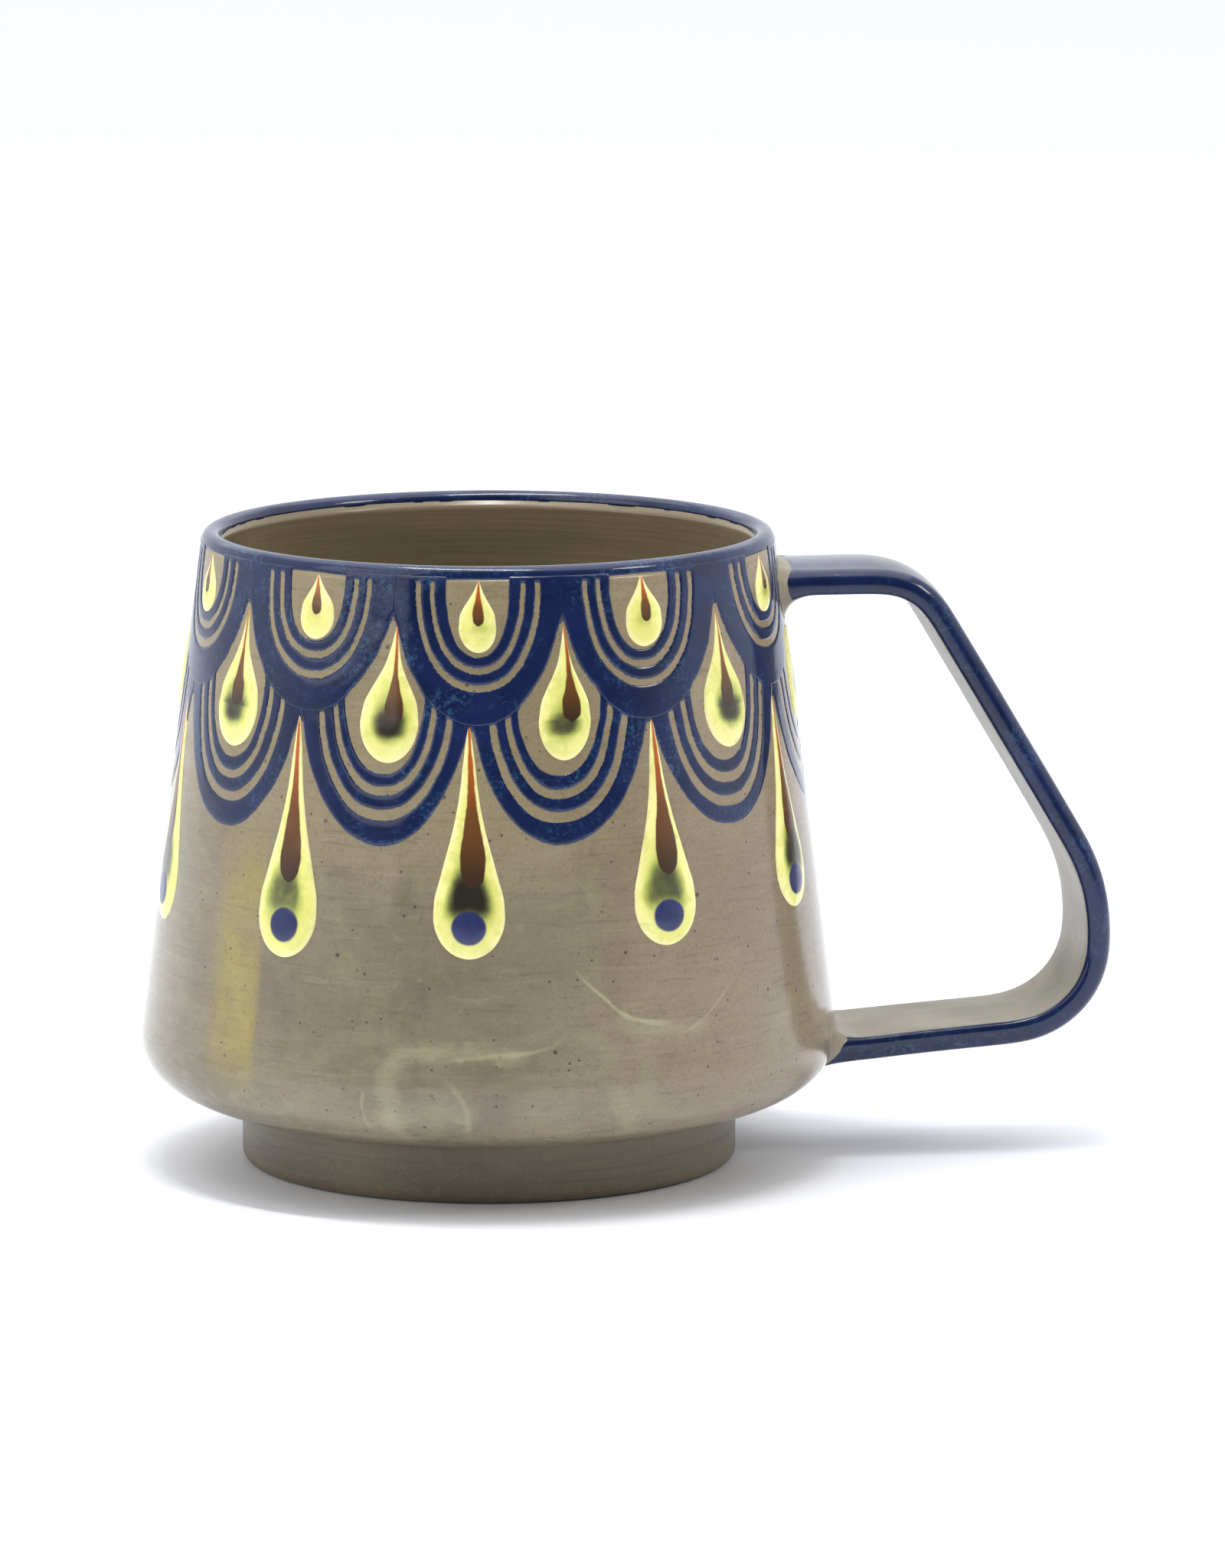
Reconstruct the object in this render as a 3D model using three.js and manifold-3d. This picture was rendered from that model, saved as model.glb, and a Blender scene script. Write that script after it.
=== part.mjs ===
// A stoneware mug with a strap handle and slip-trailed peacock feathers.
// Millimetres, +Z up. The origin is the centre of the foot's underside, and the handle points along +X.
import * as THREE from "three";
import { mergeVertices } from "three/addons/utils/BufferGeometryUtils.js";
import Module from "manifold-3d";

const wasm = await Module();
wasm.setup();

// Cup
const HEIGHT = 95;
const LIP_THICKNESS = 2.9;
const LIP_OUTER_RADIUS = 42.45;
const BELLY_RADIUS = 51.95; // where the straight wall meets the shoulder
const BELLY_HEIGHT = 20.5;
const FLOOR_HEIGHT = 11.8; // inside, on the axis
const UNDERSIDE_RADIUS = 38; // the shoulder starts here, just outside the foot
const ROUND_SIDES = 60;

// Foot
const FOOT_RADIUS = 37;
const FOOT_HEIGHT = 8.7;

// Separate pieces that touch on the real mug stand this far apart
const GAP = 0.3;

// Handle: the strap's centre line as corners in the plane of radius and height
const HANDLE_CORNERS = [
  { r: 48.6, z: 86.7, round: 0 },
  { r: 63.6, z: 86.7, round: 9.5 },
  { r: 90.9, z: 40.9, round: 28 },
  { r: 90.9, z: 18.9, round: 13 },
  { r: 56.4, z: 15.9, round: 0 },
];
const STRAP_HALF_WIDTH_TOP = 9.2;
const STRAP_HALF_WIDTH_BOTTOM = 11.2;
const STRAP_THICKNESS = 3.1;
const BEND_STEP = THREE.MathUtils.degToRad(9);
// How far each joint spreads past the strap where it meets the wall: at its sides, outer and inner faces
const UPPER_FLARE = { side: 3, outer: 1.2, inner: 4.5 };
const LOWER_FLARE = { side: 3, outer: 1.4, inner: 3 };

// Coats of glaze
const COAT = 0.35;
const RIM_COAT_OUTSIDE = 2.2; // below the lip's top
const RIM_COAT_INSIDE = 2.8;
const HANDLE_COAT_MARGIN = 1.5; // bare strap at each end

// Decoration: ten repeats, with the potter's own uneven spacing in degrees
const REPEATS = 10;
const REPEAT_ANGLE = 360 / REPEATS;
const UPPER_START = 8.5; // direction of the first upper feather, from the handle
const LOWER_START = UPPER_START + REPEAT_ANGLE / 2;
const UPPER_UNEVEN = [0, 1, -1.5, 0, 1, 3, 2.5, 0.5, -3, -1];
const LOWER_UNEVEN = [0, -1.5, 1, 0.5, -1, 1.5, 2, -1.3, -1.5, -1];
const LONG_UNEVEN = [-1.5, 0, 1, -1, 0, -2.5, 1.2, -1.2, -2.5, -2.5];
const LAYER = 0.3; // thickness of a feather's slip
// A feather fills the width between its neighbours. Its field is the bare clay inside it.
const UPPER_FEATHER = {
  top: 92.3, bottom: 73.7, shoulder: 86.5, power: 2.2,
  field: { bottom: 82.0, halfWidth: 4.9, shoulder: 89.5 },
};
const LOWER_FEATHER = {
  top: 78.0, bottom: 55.4, shoulder: 72.0, power: 2.0,
  field: { bottom: 64.3, halfWidth: 6.3, shoulder: 75.0 },
};
const SMALL_DROP = { tip: 91.9, bottom: 82.9, width: 5.2, rise: 0.45 };
const MEDIUM_DROP = { tip: 84.4, bottom: 66.6, width: 7.8, rise: 0.55 };
const LONG_DROP = { tip: 71.5, bottom: 38.3, width: 10.0, rise: 0.65 };
const LEAST_SHARE = 0.4; // a dab with less than this much clear of its neighbours is left out

const CLAY = { color: 0x968a73, roughness: 0.3 };
const BARE_CLAY = { color: 0x64583f, roughness: 0.6 };
const COBALT = { color: 0x26305e, roughness: 0.18 };
const LIME_SLIP = { color: 0xf0ee8c, roughness: 0.2 };

const mug = new THREE.Group();

function addPiece(name, geometry, finish) {
  const material = new THREE.MeshStandardMaterial({ ...finish, metalness: 0 });
  const mesh = new THREE.Mesh(geometry, material);
  mesh.name = name;
  mug.add(mesh);
}

// ---------- shapes shared by several pieces ----------

// The straight wall's outer radius at a height.
function wallRadius(z) {
  const lipHeight = HEIGHT - LIP_THICKNESS / 2;
  return THREE.MathUtils.mapLinear(z, BELLY_HEIGHT, lipHeight, BELLY_RADIUS, LIP_OUTER_RADIUS);
}

// A point a little way out from the wall, sideways mm round from a direction in degrees.
function onWall(direction, sideways, z, outward) {
  const angle = THREE.MathUtils.degToRad(direction) + sideways / wallRadius(z);
  const r = wallRadius(z) + outward;
  return new THREE.Vector3(r * Math.cos(angle), r * Math.sin(angle), z);
}

// A closed body through rings of points, all with the same count, its ends closed by flat fans.
function loft(rings) {
  const count = rings[0].length;
  const points = rings.flat();
  const index = [];
  for (let ring = 0; ring + 1 < rings.length; ring++) {
    for (let k = 0; k < count; k++) {
      const next = (k + 1) % count;
      const [a, b] = [ring * count + k, ring * count + next];
      const [c, d] = [a + count, b + count];
      index.push(a, b, d, a, d, c);
    }
  }
  const last = (rings.length - 1) * count;
  for (let k = 1; k + 1 < count; k++) {
    index.push(0, k + 1, k, last, last + k, last + k + 1);
  }
  const geometry = new THREE.BufferGeometry().setFromPoints(points);
  geometry.setIndex(index);
  return facingOut(geometry);
}

// The same body with its faces turned to point outward, whichever way round its rings ran.
function facingOut(geometry) {
  const solid = toSolid(geometry);
  if (solid.volume() < 0) {
    const index = geometry.index.array;
    for (let i = 0; i < index.length; i += 3) {
      [index[i + 1], index[i + 2]] = [index[i + 2], index[i + 1]];
    }
  }
  return geometry;
}

function toSolid(geometry) {
  const bare = geometry.clone();
  bare.deleteAttribute("normal");
  bare.deleteAttribute("uv");
  const merged = mergeVertices(bare, 1e-4);
  const vertProperties = merged.attributes.position.array;
  const triVerts = new Uint32Array(merged.index.array);
  return new wasm.Manifold(new wasm.Mesh({ numProp: 3, vertProperties, triVerts }));
}

function toGeometry(solid) {
  const mesh = solid.getMesh();
  const geometry = new THREE.BufferGeometry();
  geometry.setAttribute("position", new THREE.BufferAttribute(mesh.vertProperties, 3));
  geometry.setIndex(new THREE.BufferAttribute(mesh.triVerts, 1));
  return geometry;
}

// A body of revolution about Z. The profile is a list of [radius, height].
function turned(profile) {
  const outline = profile.map(([r, z]) => new THREE.Vector2(r, z));
  const geometry = new THREE.LatheGeometry(outline, ROUND_SIDES);
  geometry.rotateX(Math.PI / 2);
  geometry.deleteAttribute("uv");
  geometry.deleteAttribute("normal");
  return facingOut(mergeVertices(geometry, 1e-4));
}

// Points [radius, height] on an arc round [r, z], angles in degrees from straight out.
function arc(r, z, radius, from, to, steps) {
  return Array.from({ length: steps + 1 }, (_, k) => {
    const angle = THREE.MathUtils.degToRad(from + ((to - from) * k) / steps);
    return [r + radius * Math.cos(angle), z + radius * Math.sin(angle)];
  });
}

function bezier(points, steps) {
  const [a, b, c, d] = points.map(([r, z]) => new THREE.Vector2(r, z));
  return new THREE.CubicBezierCurve(a, b, c, d).getPoints(steps).map((p) => [p.x, p.y]);
}

// ---------- cup, foot and rim ----------

const LIP_CENTRE = [LIP_OUTER_RADIUS - LIP_THICKNESS / 2, HEIGHT - LIP_THICKNESS / 2];
const LIP_CLAY = LIP_THICKNESS / 2 - COAT - GAP; // radius of the clay lip inside its coat
const UNDERSIDE_HEIGHT = FOOT_HEIGHT + GAP;
const INNER_WALL_TOP = [LIP_OUTER_RADIUS - LIP_THICKNESS, HEIGHT - LIP_THICKNESS / 2];
const INNER_WALL_FOOT = [47.5, 27];

function innerWallRadius(z) {
  const [topR, topZ] = INNER_WALL_TOP;
  const [footR, footZ] = INNER_WALL_FOOT;
  return THREE.MathUtils.mapLinear(z, footZ, topZ, footR, topR);
}

function cupShoulder(grow) {
  const under = UNDERSIDE_HEIGHT - grow;
  const start = [UNDERSIDE_RADIUS, under];
  const belly = [BELLY_RADIUS + grow, BELLY_HEIGHT];
  return bezier([start, [47.5, under + 0.9], [52.9 + grow, 14.2], belly], 9);
}

function cupBody() {
  const coatBottomOut = HEIGHT - RIM_COAT_OUTSIDE - GAP;
  const coatBottomIn = HEIGHT - RIM_COAT_INSIDE - GAP;
  const floorCorner = bezier([[34, 13.1], [42.5, 14], [46.6, 17.5], INNER_WALL_FOOT], 6);
  return turned([
    [0, UNDERSIDE_HEIGHT],
    ...cupShoulder(0),
    [wallRadius(coatBottomOut), coatBottomOut],
    [wallRadius(coatBottomOut) - COAT - GAP, coatBottomOut],
    ...arc(...LIP_CENTRE, LIP_CLAY, 0, 180, 6),
    [innerWallRadius(coatBottomIn) + COAT + GAP, coatBottomIn],
    [innerWallRadius(coatBottomIn), coatBottomIn],
    ...floorCorner.reverse(),
    [0, FLOOR_HEIGHT],
  ]);
}

function foot() {
  return turned([
    [0, 0],
    [FOOT_RADIUS - 1.4, 0],
    [FOOT_RADIUS - 0.4, 0.4],
    [FOOT_RADIUS, 1.4],
    [FOOT_RADIUS, FOOT_HEIGHT],
    [0, FOOT_HEIGHT],
  ]);
}

// The coat is a thin cap over the lip, open underneath.
function rimCoat() {
  const outside = HEIGHT - RIM_COAT_OUTSIDE;
  const inside = HEIGHT - RIM_COAT_INSIDE;
  const outerSkin = arc(...LIP_CENTRE, LIP_THICKNESS / 2, 0, 180, 8);
  const innerSkin = arc(...LIP_CENTRE, LIP_THICKNESS / 2 - COAT, 180, 0, 8);
  return turned([
    [wallRadius(outside), outside],
    ...outerSkin,
    [innerWallRadius(inside), inside],
    [innerWallRadius(inside) + COAT, inside],
    ...innerSkin,
    [wallRadius(outside) - COAT, outside],
    [wallRadius(outside), outside],
  ]);
}

addPiece("cup_body", cupBody(), CLAY);
addPiece("foot", foot(), BARE_CLAY);
addPiece("rim_coat", rimCoat(), COBALT);

// ---------- handle ----------

// Stations along the strap: where its centre is, its direction, and how far along it lies.
function handleStations() {
  const corners = HANDLE_CORNERS.map(({ r, z }) => new THREE.Vector2(r, z));
  const stations = [];
  const addStation = (point, heading) => {
    const before = stations.at(-1);
    const along = before ? before.along + before.point.distanceTo(point) : 0;
    stations.push({ point, heading, along });
  };
  const heading = (from, to) => to.clone().sub(from).normalize();
  addStation(corners[0], heading(corners[0], corners[1]));
  for (let k = 1; k + 1 < corners.length; k++) {
    const into = heading(corners[k - 1], corners[k]);
    const out = heading(corners[k], corners[k + 1]);
    const turn = Math.acos(into.dot(out));
    const round = HANDLE_CORNERS[k].round;
    const start = corners[k].clone().addScaledVector(into, -round * Math.tan(turn / 2));
    const inward = new THREE.Vector2(into.y, -into.x); // every bend turns the same way, down
    const centre = start.clone().addScaledVector(inward, round);
    const steps = Math.ceil(turn / BEND_STEP);
    for (let step = 0; step <= steps; step++) {
      const angle = (-turn * step) / steps;
      const point = start.clone().rotateAround(centre, angle);
      addStation(point, into.clone().rotateAround(new THREE.Vector2(), angle));
    }
  }
  addStation(corners.at(-1), heading(corners.at(-2), corners.at(-1)));
  return stations;
}

const STATIONS = handleStations();
const HANDLE_LENGTH = STATIONS.at(-1).along;

function strapHalfWidth(along) {
  return THREE.MathUtils.lerp(STRAP_HALF_WIDTH_TOP, STRAP_HALF_WIDTH_BOTTOM, along / HANDLE_LENGTH);
}

// The point on the mug, sideways along Y and outward from the strap's centre line at a station.
function offStrap({ point, heading }, sideways, outward) {
  const r = point.x - heading.y * outward;
  const z = point.y + heading.x * outward;
  return new THREE.Vector3(r, sideways, z);
}

// A rectangle across the strap with its long edges bevelled off. Outer and inner are the two
// faces' distances from the centre line.
function strapRing(station, halfWidth, outer, inner) {
  const bevel = Math.min(outer, inner) * 0.7;
  const side = halfWidth - bevel;
  const outline = [
    [side, outer], [halfWidth, outer - bevel], [halfWidth, bevel - inner], [side, -inner],
    [-side, -inner], [-halfWidth, bevel - inner], [-halfWidth, outer - bevel], [-side, outer],
  ];
  return outline.map(([sideways, outward]) => offStrap(station, sideways, outward));
}

function handleStrap() {
  const half = STRAP_THICKNESS / 2;
  return loft(STATIONS.map((s) => strapRing(s, strapHalfWidth(s.along), half, half)));
}

// The coat is a channel over the strap's outer face and both edges.
function handleCoat() {
  const half = STRAP_THICKNESS / 2;
  const rings = STATIONS.map((station, k) => {
    const width = strapHalfWidth(station.along) + GAP;
    const edge = half * 0.3;
    const side = width - half * 0.7;
    const top = half + GAP;
    const outline = [
      [width + COAT, -edge], [width + COAT, edge], [side + COAT * 0.4, top + COAT],
      [-side - COAT * 0.4, top + COAT], [-width - COAT, edge], [-width - COAT, -edge],
      [-width, -edge], [-width, edge], [-side, top], [side, top], [width, edge], [width, -edge],
    ];
    const end = k === 0 ? 1 : k === STATIONS.length - 1 ? -1 : 0;
    const point = station.point.clone().addScaledVector(station.heading, end * HANDLE_COAT_MARGIN);
    return outline.map(([sideways, outward]) => offStrap({ ...station, point }, sideways, outward));
  });
  return loft(rings);
}

// How far a fillet stands out at a distance from the wall it runs into.
function filletAt(radius, fromWall) {
  const inside = Math.min(1, Math.max(0, 1 - fromWall / radius));
  return radius * (1 - Math.sqrt(1 - inside * inside));
}

// The pad of clay between the strap's end and the wall, flared into the wall and on through it.
function jointBlock(station, towardsWall, flare, grow) {
  const length = Math.abs(station.point.x - padFoot(station).x) - GAP;
  const half = STRAP_THICKNESS / 2 + COAT + grow;
  const rings = [1, 0.7, 0.45, 0.25, 0.12, 0.04, 0, -1].map((share) => {
    const fromWall = share * length;
    const away = GAP - grow * share + length - fromWall;
    const point = station.point.clone().addScaledVector(station.heading, towardsWall * away);
    const [side, outer, inner] = ["side", "outer", "inner"].map((k) => filletAt(flare[k], fromWall));
    const halfWidth = strapHalfWidth(station.along) + COAT + grow + side;
    return strapRing({ ...station, point }, halfWidth, half + outer, half + inner);
  });
  return toSolid(loft(rings));
}

// The point of the cup's outside that a station of the handle faces.
function padFoot({ point }) {
  const outside = [...cupShoulder(0), [LIP_OUTER_RADIUS, HEIGHT]];
  const above = outside.findIndex(([, z]) => z >= point.y);
  const [[r0, z0], [r1, z1]] = [outside[above - 1], outside[above]];
  return new THREE.Vector2(THREE.MathUtils.mapLinear(point.y, z0, z1, r0, r1), point.y);
}

// The cup's outside, grown by the gap, with nothing hollow.
function cupBlock() {
  const top = [wallRadius(HEIGHT) + GAP, HEIGHT];
  return toSolid(turned([[0, UNDERSIDE_HEIGHT - GAP], ...cupShoulder(GAP), top, [0, HEIGHT]]));
}

function handleJoint(...where) {
  return toGeometry(jointBlock(...where, 0).subtract(cupBlock()));
}

const UPPER_JOINT = [STATIONS[0], -1, UPPER_FLARE];
const LOWER_JOINT = [STATIONS.at(-1), 1, LOWER_FLARE];

addPiece("handle_strap", handleStrap(), CLAY);
addPiece("handle_coat", handleCoat(), COBALT);
addPiece("handle_upper_joint", handleJoint(...UPPER_JOINT), CLAY);
addPiece("handle_lower_joint", handleJoint(...LOWER_JOINT), CLAY);

// ---------- feathers and drops ----------

// A point on a U: turn runs from -1 at its top left through 0 at its bottom to 1 at its top right.
function pointOnU({ bottom, shoulder }, halfWidth, power, top, turn) {
  const quarter = Math.abs(turn) * 0.5 * Math.PI;
  const drop = Math.cos(quarter) ** (2 / power);
  const side = Math.sin(quarter) ** (2 / power);
  const z = Math.abs(turn) === 1 ? top : shoulder - (shoulder - bottom) * drop;
  return [Math.sign(turn) * halfWidth * side, z];
}

// A feather is a flat U-shaped ribbon between its outer edge and its inner field. Reach is how far
// its outer edge may spread to each side, in degrees. Grow widens it all round its outer edge.
function feather(direction, reach, shape, grow) {
  const steps = 14;
  const rings = [];
  const { field, power, top } = shape;
  const outer = { ...shape, bottom: shape.bottom - grow };
  const [low, high] = [GAP - grow, GAP + LAYER + grow];
  for (let k = 0; k <= steps; k++) {
    const turn = (2 * k) / steps - 1;
    const spread = THREE.MathUtils.degToRad(turn < 0 ? reach.before : reach.after);
    const halfWidth = spread * wallRadius(top) - GAP / 2 + grow;
    const [outerX, outerZ] = pointOnU(outer, halfWidth, power, top, turn);
    const [innerX, innerZ] = pointOnU(field, field.halfWidth, power, top, turn);
    rings.push([
      onWall(direction, outerX, outerZ, low),
      onWall(direction, innerX, innerZ, low),
      onWall(direction, innerX, innerZ, high),
      onWall(direction, outerX, outerZ, high),
    ]);
  }
  return toSolid(loft(rings));
}

// A drop is a long tear with a domed face, thin at its tip and round at its bottom.
function drop(direction, { tip, bottom, width, rise }, grow) {
  const steps = 8;
  const rings = [];
  for (let k = 0; k <= steps; k++) {
    const turn = (Math.PI * (k + 0.35)) / (steps + 0.7);
    const z = THREE.MathUtils.lerp(tip + grow, bottom - grow, (1 - Math.cos(turn)) / 2);
    const fullness = Math.sin(turn) * Math.sin(turn / 2) ** 2.2 * 1.18;
    const half = (width / 2) * fullness + grow;
    const base = GAP - grow;
    const dome = GAP + 0.15 + rise * fullness + grow;
    rings.push([
      onWall(direction, -half, z, base),
      onWall(direction, 0, z, base),
      onWall(direction, half, z, base),
      onWall(direction, half * 0.75, z, dome),
      onWall(direction, -half * 0.75, z, dome),
    ]);
  }
  return toSolid(loft(rings));
}

// The directions of a row's dabs, each with how far it may spread before it meets its neighbours.
function placesInRow(first, uneven) {
  const directions = uneven.map((extra, k) => first + k * REPEAT_ANGLE + extra);
  return directions.map((direction, k) => {
    const previous = k > 0 ? directions[k - 1] : directions.at(-1) - 360;
    const next = k + 1 < REPEATS ? directions[k + 1] : directions[0] + 360;
    return { direction, reach: { before: (direction - previous) / 2, after: (next - direction) / 2 } };
  });
}

// Adds a row of dabs, each cut clear of what was on the wall before it.
function addRow(name, places, shapeAt, keepOut, finish) {
  places.forEach((place, k) => {
    const whole = shapeAt(place, 0);
    const bodies = whole.subtract(keepOut).decompose();
    const largest = bodies.reduce((a, b) => (b.volume() > a.volume() ? b : a), bodies[0]);
    if (largest && largest.volume() > LEAST_SHARE * whole.volume()) {
      addPiece(`${name}_${String(k + 1).padStart(2, "0")}`, toGeometry(largest), finish);
    }
  });
}

const UPPER_PLACES = placesInRow(UPPER_START, UPPER_UNEVEN);
const LOWER_PLACES = placesInRow(LOWER_START, LOWER_UNEVEN);
const LONG_PLACES = placesInRow(UPPER_START, LONG_UNEVEN);

const upperFeather = ({ direction, reach }, grow) => feather(direction, reach, UPPER_FEATHER, grow);
const lowerFeather = ({ direction, reach }, grow) => feather(direction, reach, LOWER_FEATHER, grow);
const smallDrop = ({ direction }, grow) => drop(direction, SMALL_DROP, grow);
const mediumDrop = ({ direction }, grow) => drop(direction, MEDIUM_DROP, grow);
const longDrop = ({ direction }, grow) => drop(direction, LONG_DROP, grow);

// What each kind of dab keeps clear of
const room = (places, shapeAt) => places.map((place) => shapeAt(place, GAP));
const JOINT_ROOM = jointBlock(...UPPER_JOINT, GAP);
const DROP_ROOM = wasm.Manifold.union([
  JOINT_ROOM,
  ...room(LOWER_PLACES, mediumDrop),
  ...room(LONG_PLACES, longDrop),
]);
const LOWER_ROOM = wasm.Manifold.union([DROP_ROOM, ...room(UPPER_PLACES, upperFeather)]);

addRow("feather_upper", UPPER_PLACES, upperFeather, DROP_ROOM, COBALT);
addRow("feather_lower", LOWER_PLACES, lowerFeather, LOWER_ROOM, COBALT);
addRow("drop_small", UPPER_PLACES, smallDrop, JOINT_ROOM, LIME_SLIP);
addRow("drop_medium", LOWER_PLACES, mediumDrop, JOINT_ROOM, LIME_SLIP);
addRow("drop_long", LONG_PLACES, longDrop, JOINT_ROOM, LIME_SLIP);

export default mug;
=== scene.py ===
"""The looks of a stoneware mug with slip-trailed peacock feathers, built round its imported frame.

Lengths are in millimetres until a mesh is made, which turns them into metres. Directions are in
degrees round the cup from the handle, which points along +X.
"""
import math
import random

import bpy
import numpy as np
from mathutils import Matrix, Vector, noise


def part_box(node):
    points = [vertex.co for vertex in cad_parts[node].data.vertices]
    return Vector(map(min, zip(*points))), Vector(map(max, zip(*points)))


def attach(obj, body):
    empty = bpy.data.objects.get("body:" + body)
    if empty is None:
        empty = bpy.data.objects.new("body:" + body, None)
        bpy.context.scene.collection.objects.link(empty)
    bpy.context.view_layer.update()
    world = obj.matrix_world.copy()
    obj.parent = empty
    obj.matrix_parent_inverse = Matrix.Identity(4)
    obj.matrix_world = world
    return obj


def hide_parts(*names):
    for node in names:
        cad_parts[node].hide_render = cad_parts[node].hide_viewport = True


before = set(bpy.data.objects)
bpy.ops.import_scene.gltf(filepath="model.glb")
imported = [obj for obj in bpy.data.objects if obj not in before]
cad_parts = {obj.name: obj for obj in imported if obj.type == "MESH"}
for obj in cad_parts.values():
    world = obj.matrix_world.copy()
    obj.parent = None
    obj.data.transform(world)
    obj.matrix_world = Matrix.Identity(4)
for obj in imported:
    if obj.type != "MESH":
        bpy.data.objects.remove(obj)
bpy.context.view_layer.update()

MM = 0.001


def node_box(name):
    """The node's lowest and highest corners, in millimetres."""
    low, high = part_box(name)
    return np.array(low) / MM, np.array(high) / MM


# ---------- sizes, from the frame ----------
HEIGHT = node_box("rim_coat")[1][2]
LIP_OUTER = node_box("rim_coat")[1][1]
FOOT_RADIUS = node_box("foot")[1][1]
FOOT_HEIGHT = node_box("foot")[1][2]

# ---------- sizes that the frame's boxes don't give ----------
LIP_THICKNESS = 2.9
BELLY_RADIUS = 51.95
BELLY_HEIGHT = 20.5
UNDERSIDE_RADIUS = 37.3
SHOULDER_CONTROLS = [(47.5, 9.9), (52.9, 14.2)]
UNDERSIDE_HEIGHT = FOOT_HEIGHT + 0.3  # the cup stands this far off its foot
FLOOR_HEIGHT = 11.8
INNER_WALL_FOOT = (47.5, 27.0)
FLOOR_CORNER = [(46.6, 17.5), (42.5, 14.0), (34.0, 13.1)]
RIM_BAND_OUTSIDE = 93.4  # heights of the rim band's lower edges
RIM_BAND_INSIDE = 93.65
ROUND = 360  # segments round the cup
BURIED = -0.08  # where a coat that has thinned out to nothing lies, against the clay's surface
SHEET_ROOT = -0.45  # the underside of a feather, against the same surface
COAT_ROOT = -0.5  # the underside of the rim band and of a drop

LIP_RING = LIP_OUTER - LIP_THICKNESS / 2
LIP_HEIGHT = HEIGHT - LIP_THICKNESS / 2


# ---------- small tools ----------
def smooth(low, high, x):
    """0 below low, 1 above high, and a smooth rise between."""
    t = np.clip((np.asarray(x, float) - low) / (high - low), 0.0, 1.0)
    return t * t * (3 - 2 * t)


def bezier(points, count):
    """Points along a cubic Bezier curve, or along many at once."""
    a, b, c, d = [np.array(p, float) for p in points]
    t = np.linspace(0, 1, count).reshape([-1] + [1] * a.ndim)
    return a * (1 - t) ** 3 + 3 * b * t * (1 - t) ** 2 + 3 * c * t ** 2 * (1 - t) + d * t ** 3


def through(knots, x):
    """A smooth curve through knots [(x, y), ...], read at x: cubic pieces with no overshoot."""
    kx, ky = np.array(knots, float).T
    slope = np.diff(ky) / np.diff(kx)
    tangent = np.zeros_like(ky)
    same = slope[:-1] * slope[1:] > 0
    tangent[1:-1][same] = 2 * slope[:-1][same] * slope[1:][same] / (slope[:-1] + slope[1:])[same]
    tangent[0], tangent[-1] = slope[0], slope[-1]
    x = np.clip(np.asarray(x, float), kx[0], kx[-1])
    k = np.clip(np.searchsorted(kx, x, side="right") - 1, 0, len(kx) - 2)
    width = kx[k + 1] - kx[k]
    t = (x - kx[k]) / width
    start = (2 * t ** 3 - 3 * t ** 2 + 1) * ky[k] + (t ** 3 - 2 * t ** 2 + t) * width * tangent[k]
    end = (3 * t ** 2 - 2 * t ** 3) * ky[k + 1] + (t ** 3 - t ** 2) * width * tangent[k + 1]
    return start + end


def ripple(x, y, z, seed=0.0):
    """Smooth random numbers from -1 to 1 over arrays of places."""
    x, y, z = np.broadcast_arrays(np.asarray(x, float), y, z)
    places = zip(x.ravel(), y.ravel(), z.ravel())
    return np.array([noise.noise(Vector((a, b, c + seed))) for a, b, c in places]).reshape(x.shape)


def hand_thrown(angle, z):
    """How far the potter's hands left the wall from a true surface, at an angle in radians."""
    slow = ripple(1.3 * np.cos(angle), 1.3 * np.sin(angle), z / 30)
    rings = ripple(0.8 * np.cos(angle), 0.8 * np.sin(angle), z / 3.2 + angle / 6.3, 40)
    return 0.10 * slow + 0.035 * rings * smooth(8, 20, z) * (1 - smooth(88, 93, z))


# ---------- meshes ----------
def new_piece(name, solid, material, node):
    """A smooth mesh in metres that stands for one node of the frame.

    solid is its vertices in millimetres, its faces and, for some, a field at each vertex by name.
    """
    vertices, faces, *fields = solid
    mesh = bpy.data.meshes.new(name)
    mesh.from_pydata((vertices * MM).tolist(), [], faces)
    for key, values in (fields[0] if fields else {}).items():
        attribute = mesh.attributes.new(key, "FLOAT", "POINT")
        attribute.data.foreach_set("value", np.asarray(values, np.float32))
    mesh.materials.append(material)
    mesh.shade_smooth()
    mesh.update()
    piece = bpy.data.objects.new(name, mesh)
    bpy.context.collection.objects.link(piece)
    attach(piece, "root")
    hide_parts(node)
    return piece


def slab(top, bottom, fields, keep=None, wrap=False):
    """A closed solid between two grids of points, and the named fields at its vertices.

    keep says which of the grid's cells it fills.
    """
    rows, columns = top.shape[:2]
    count = rows * columns
    quads = []
    for i in range(rows - 1):
        for j in range(columns if wrap else columns - 1):
            if keep is None or keep[i, j]:
                row, below, k = i * columns, (i + 1) * columns, (j + 1) % columns
                quads.append((row + j, row + k, below + k, below + j))
    faces = list(quads)
    faces += [tuple(v + count for v in reversed(q)) for q in quads]
    edges = set()
    for q in quads:
        edges.update((q[n], q[(n + 1) % 4]) for n in range(4))
    faces += [(b, a, a + count, b + count) for a, b in edges if (b, a) not in edges]
    vertices = np.concatenate([top.reshape(-1, 3), bottom.reshape(-1, 3)])
    used = np.unique(np.array([v for f in faces for v in f]))
    place = {int(v): n for n, v in enumerate(used)}
    faces = [tuple(place[v] for v in f) for f in sorted(faces)]
    both = {key: np.tile(values.ravel(), 2)[used] for key, values in fields.items()}
    return vertices[used], faces, both


def cells_touching(shown):
    """The cells of a grid that have at least one corner shown."""
    return shown[:-1, :-1] | shown[1:, :-1] | shown[:-1, 1:] | shown[1:, 1:]


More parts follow.
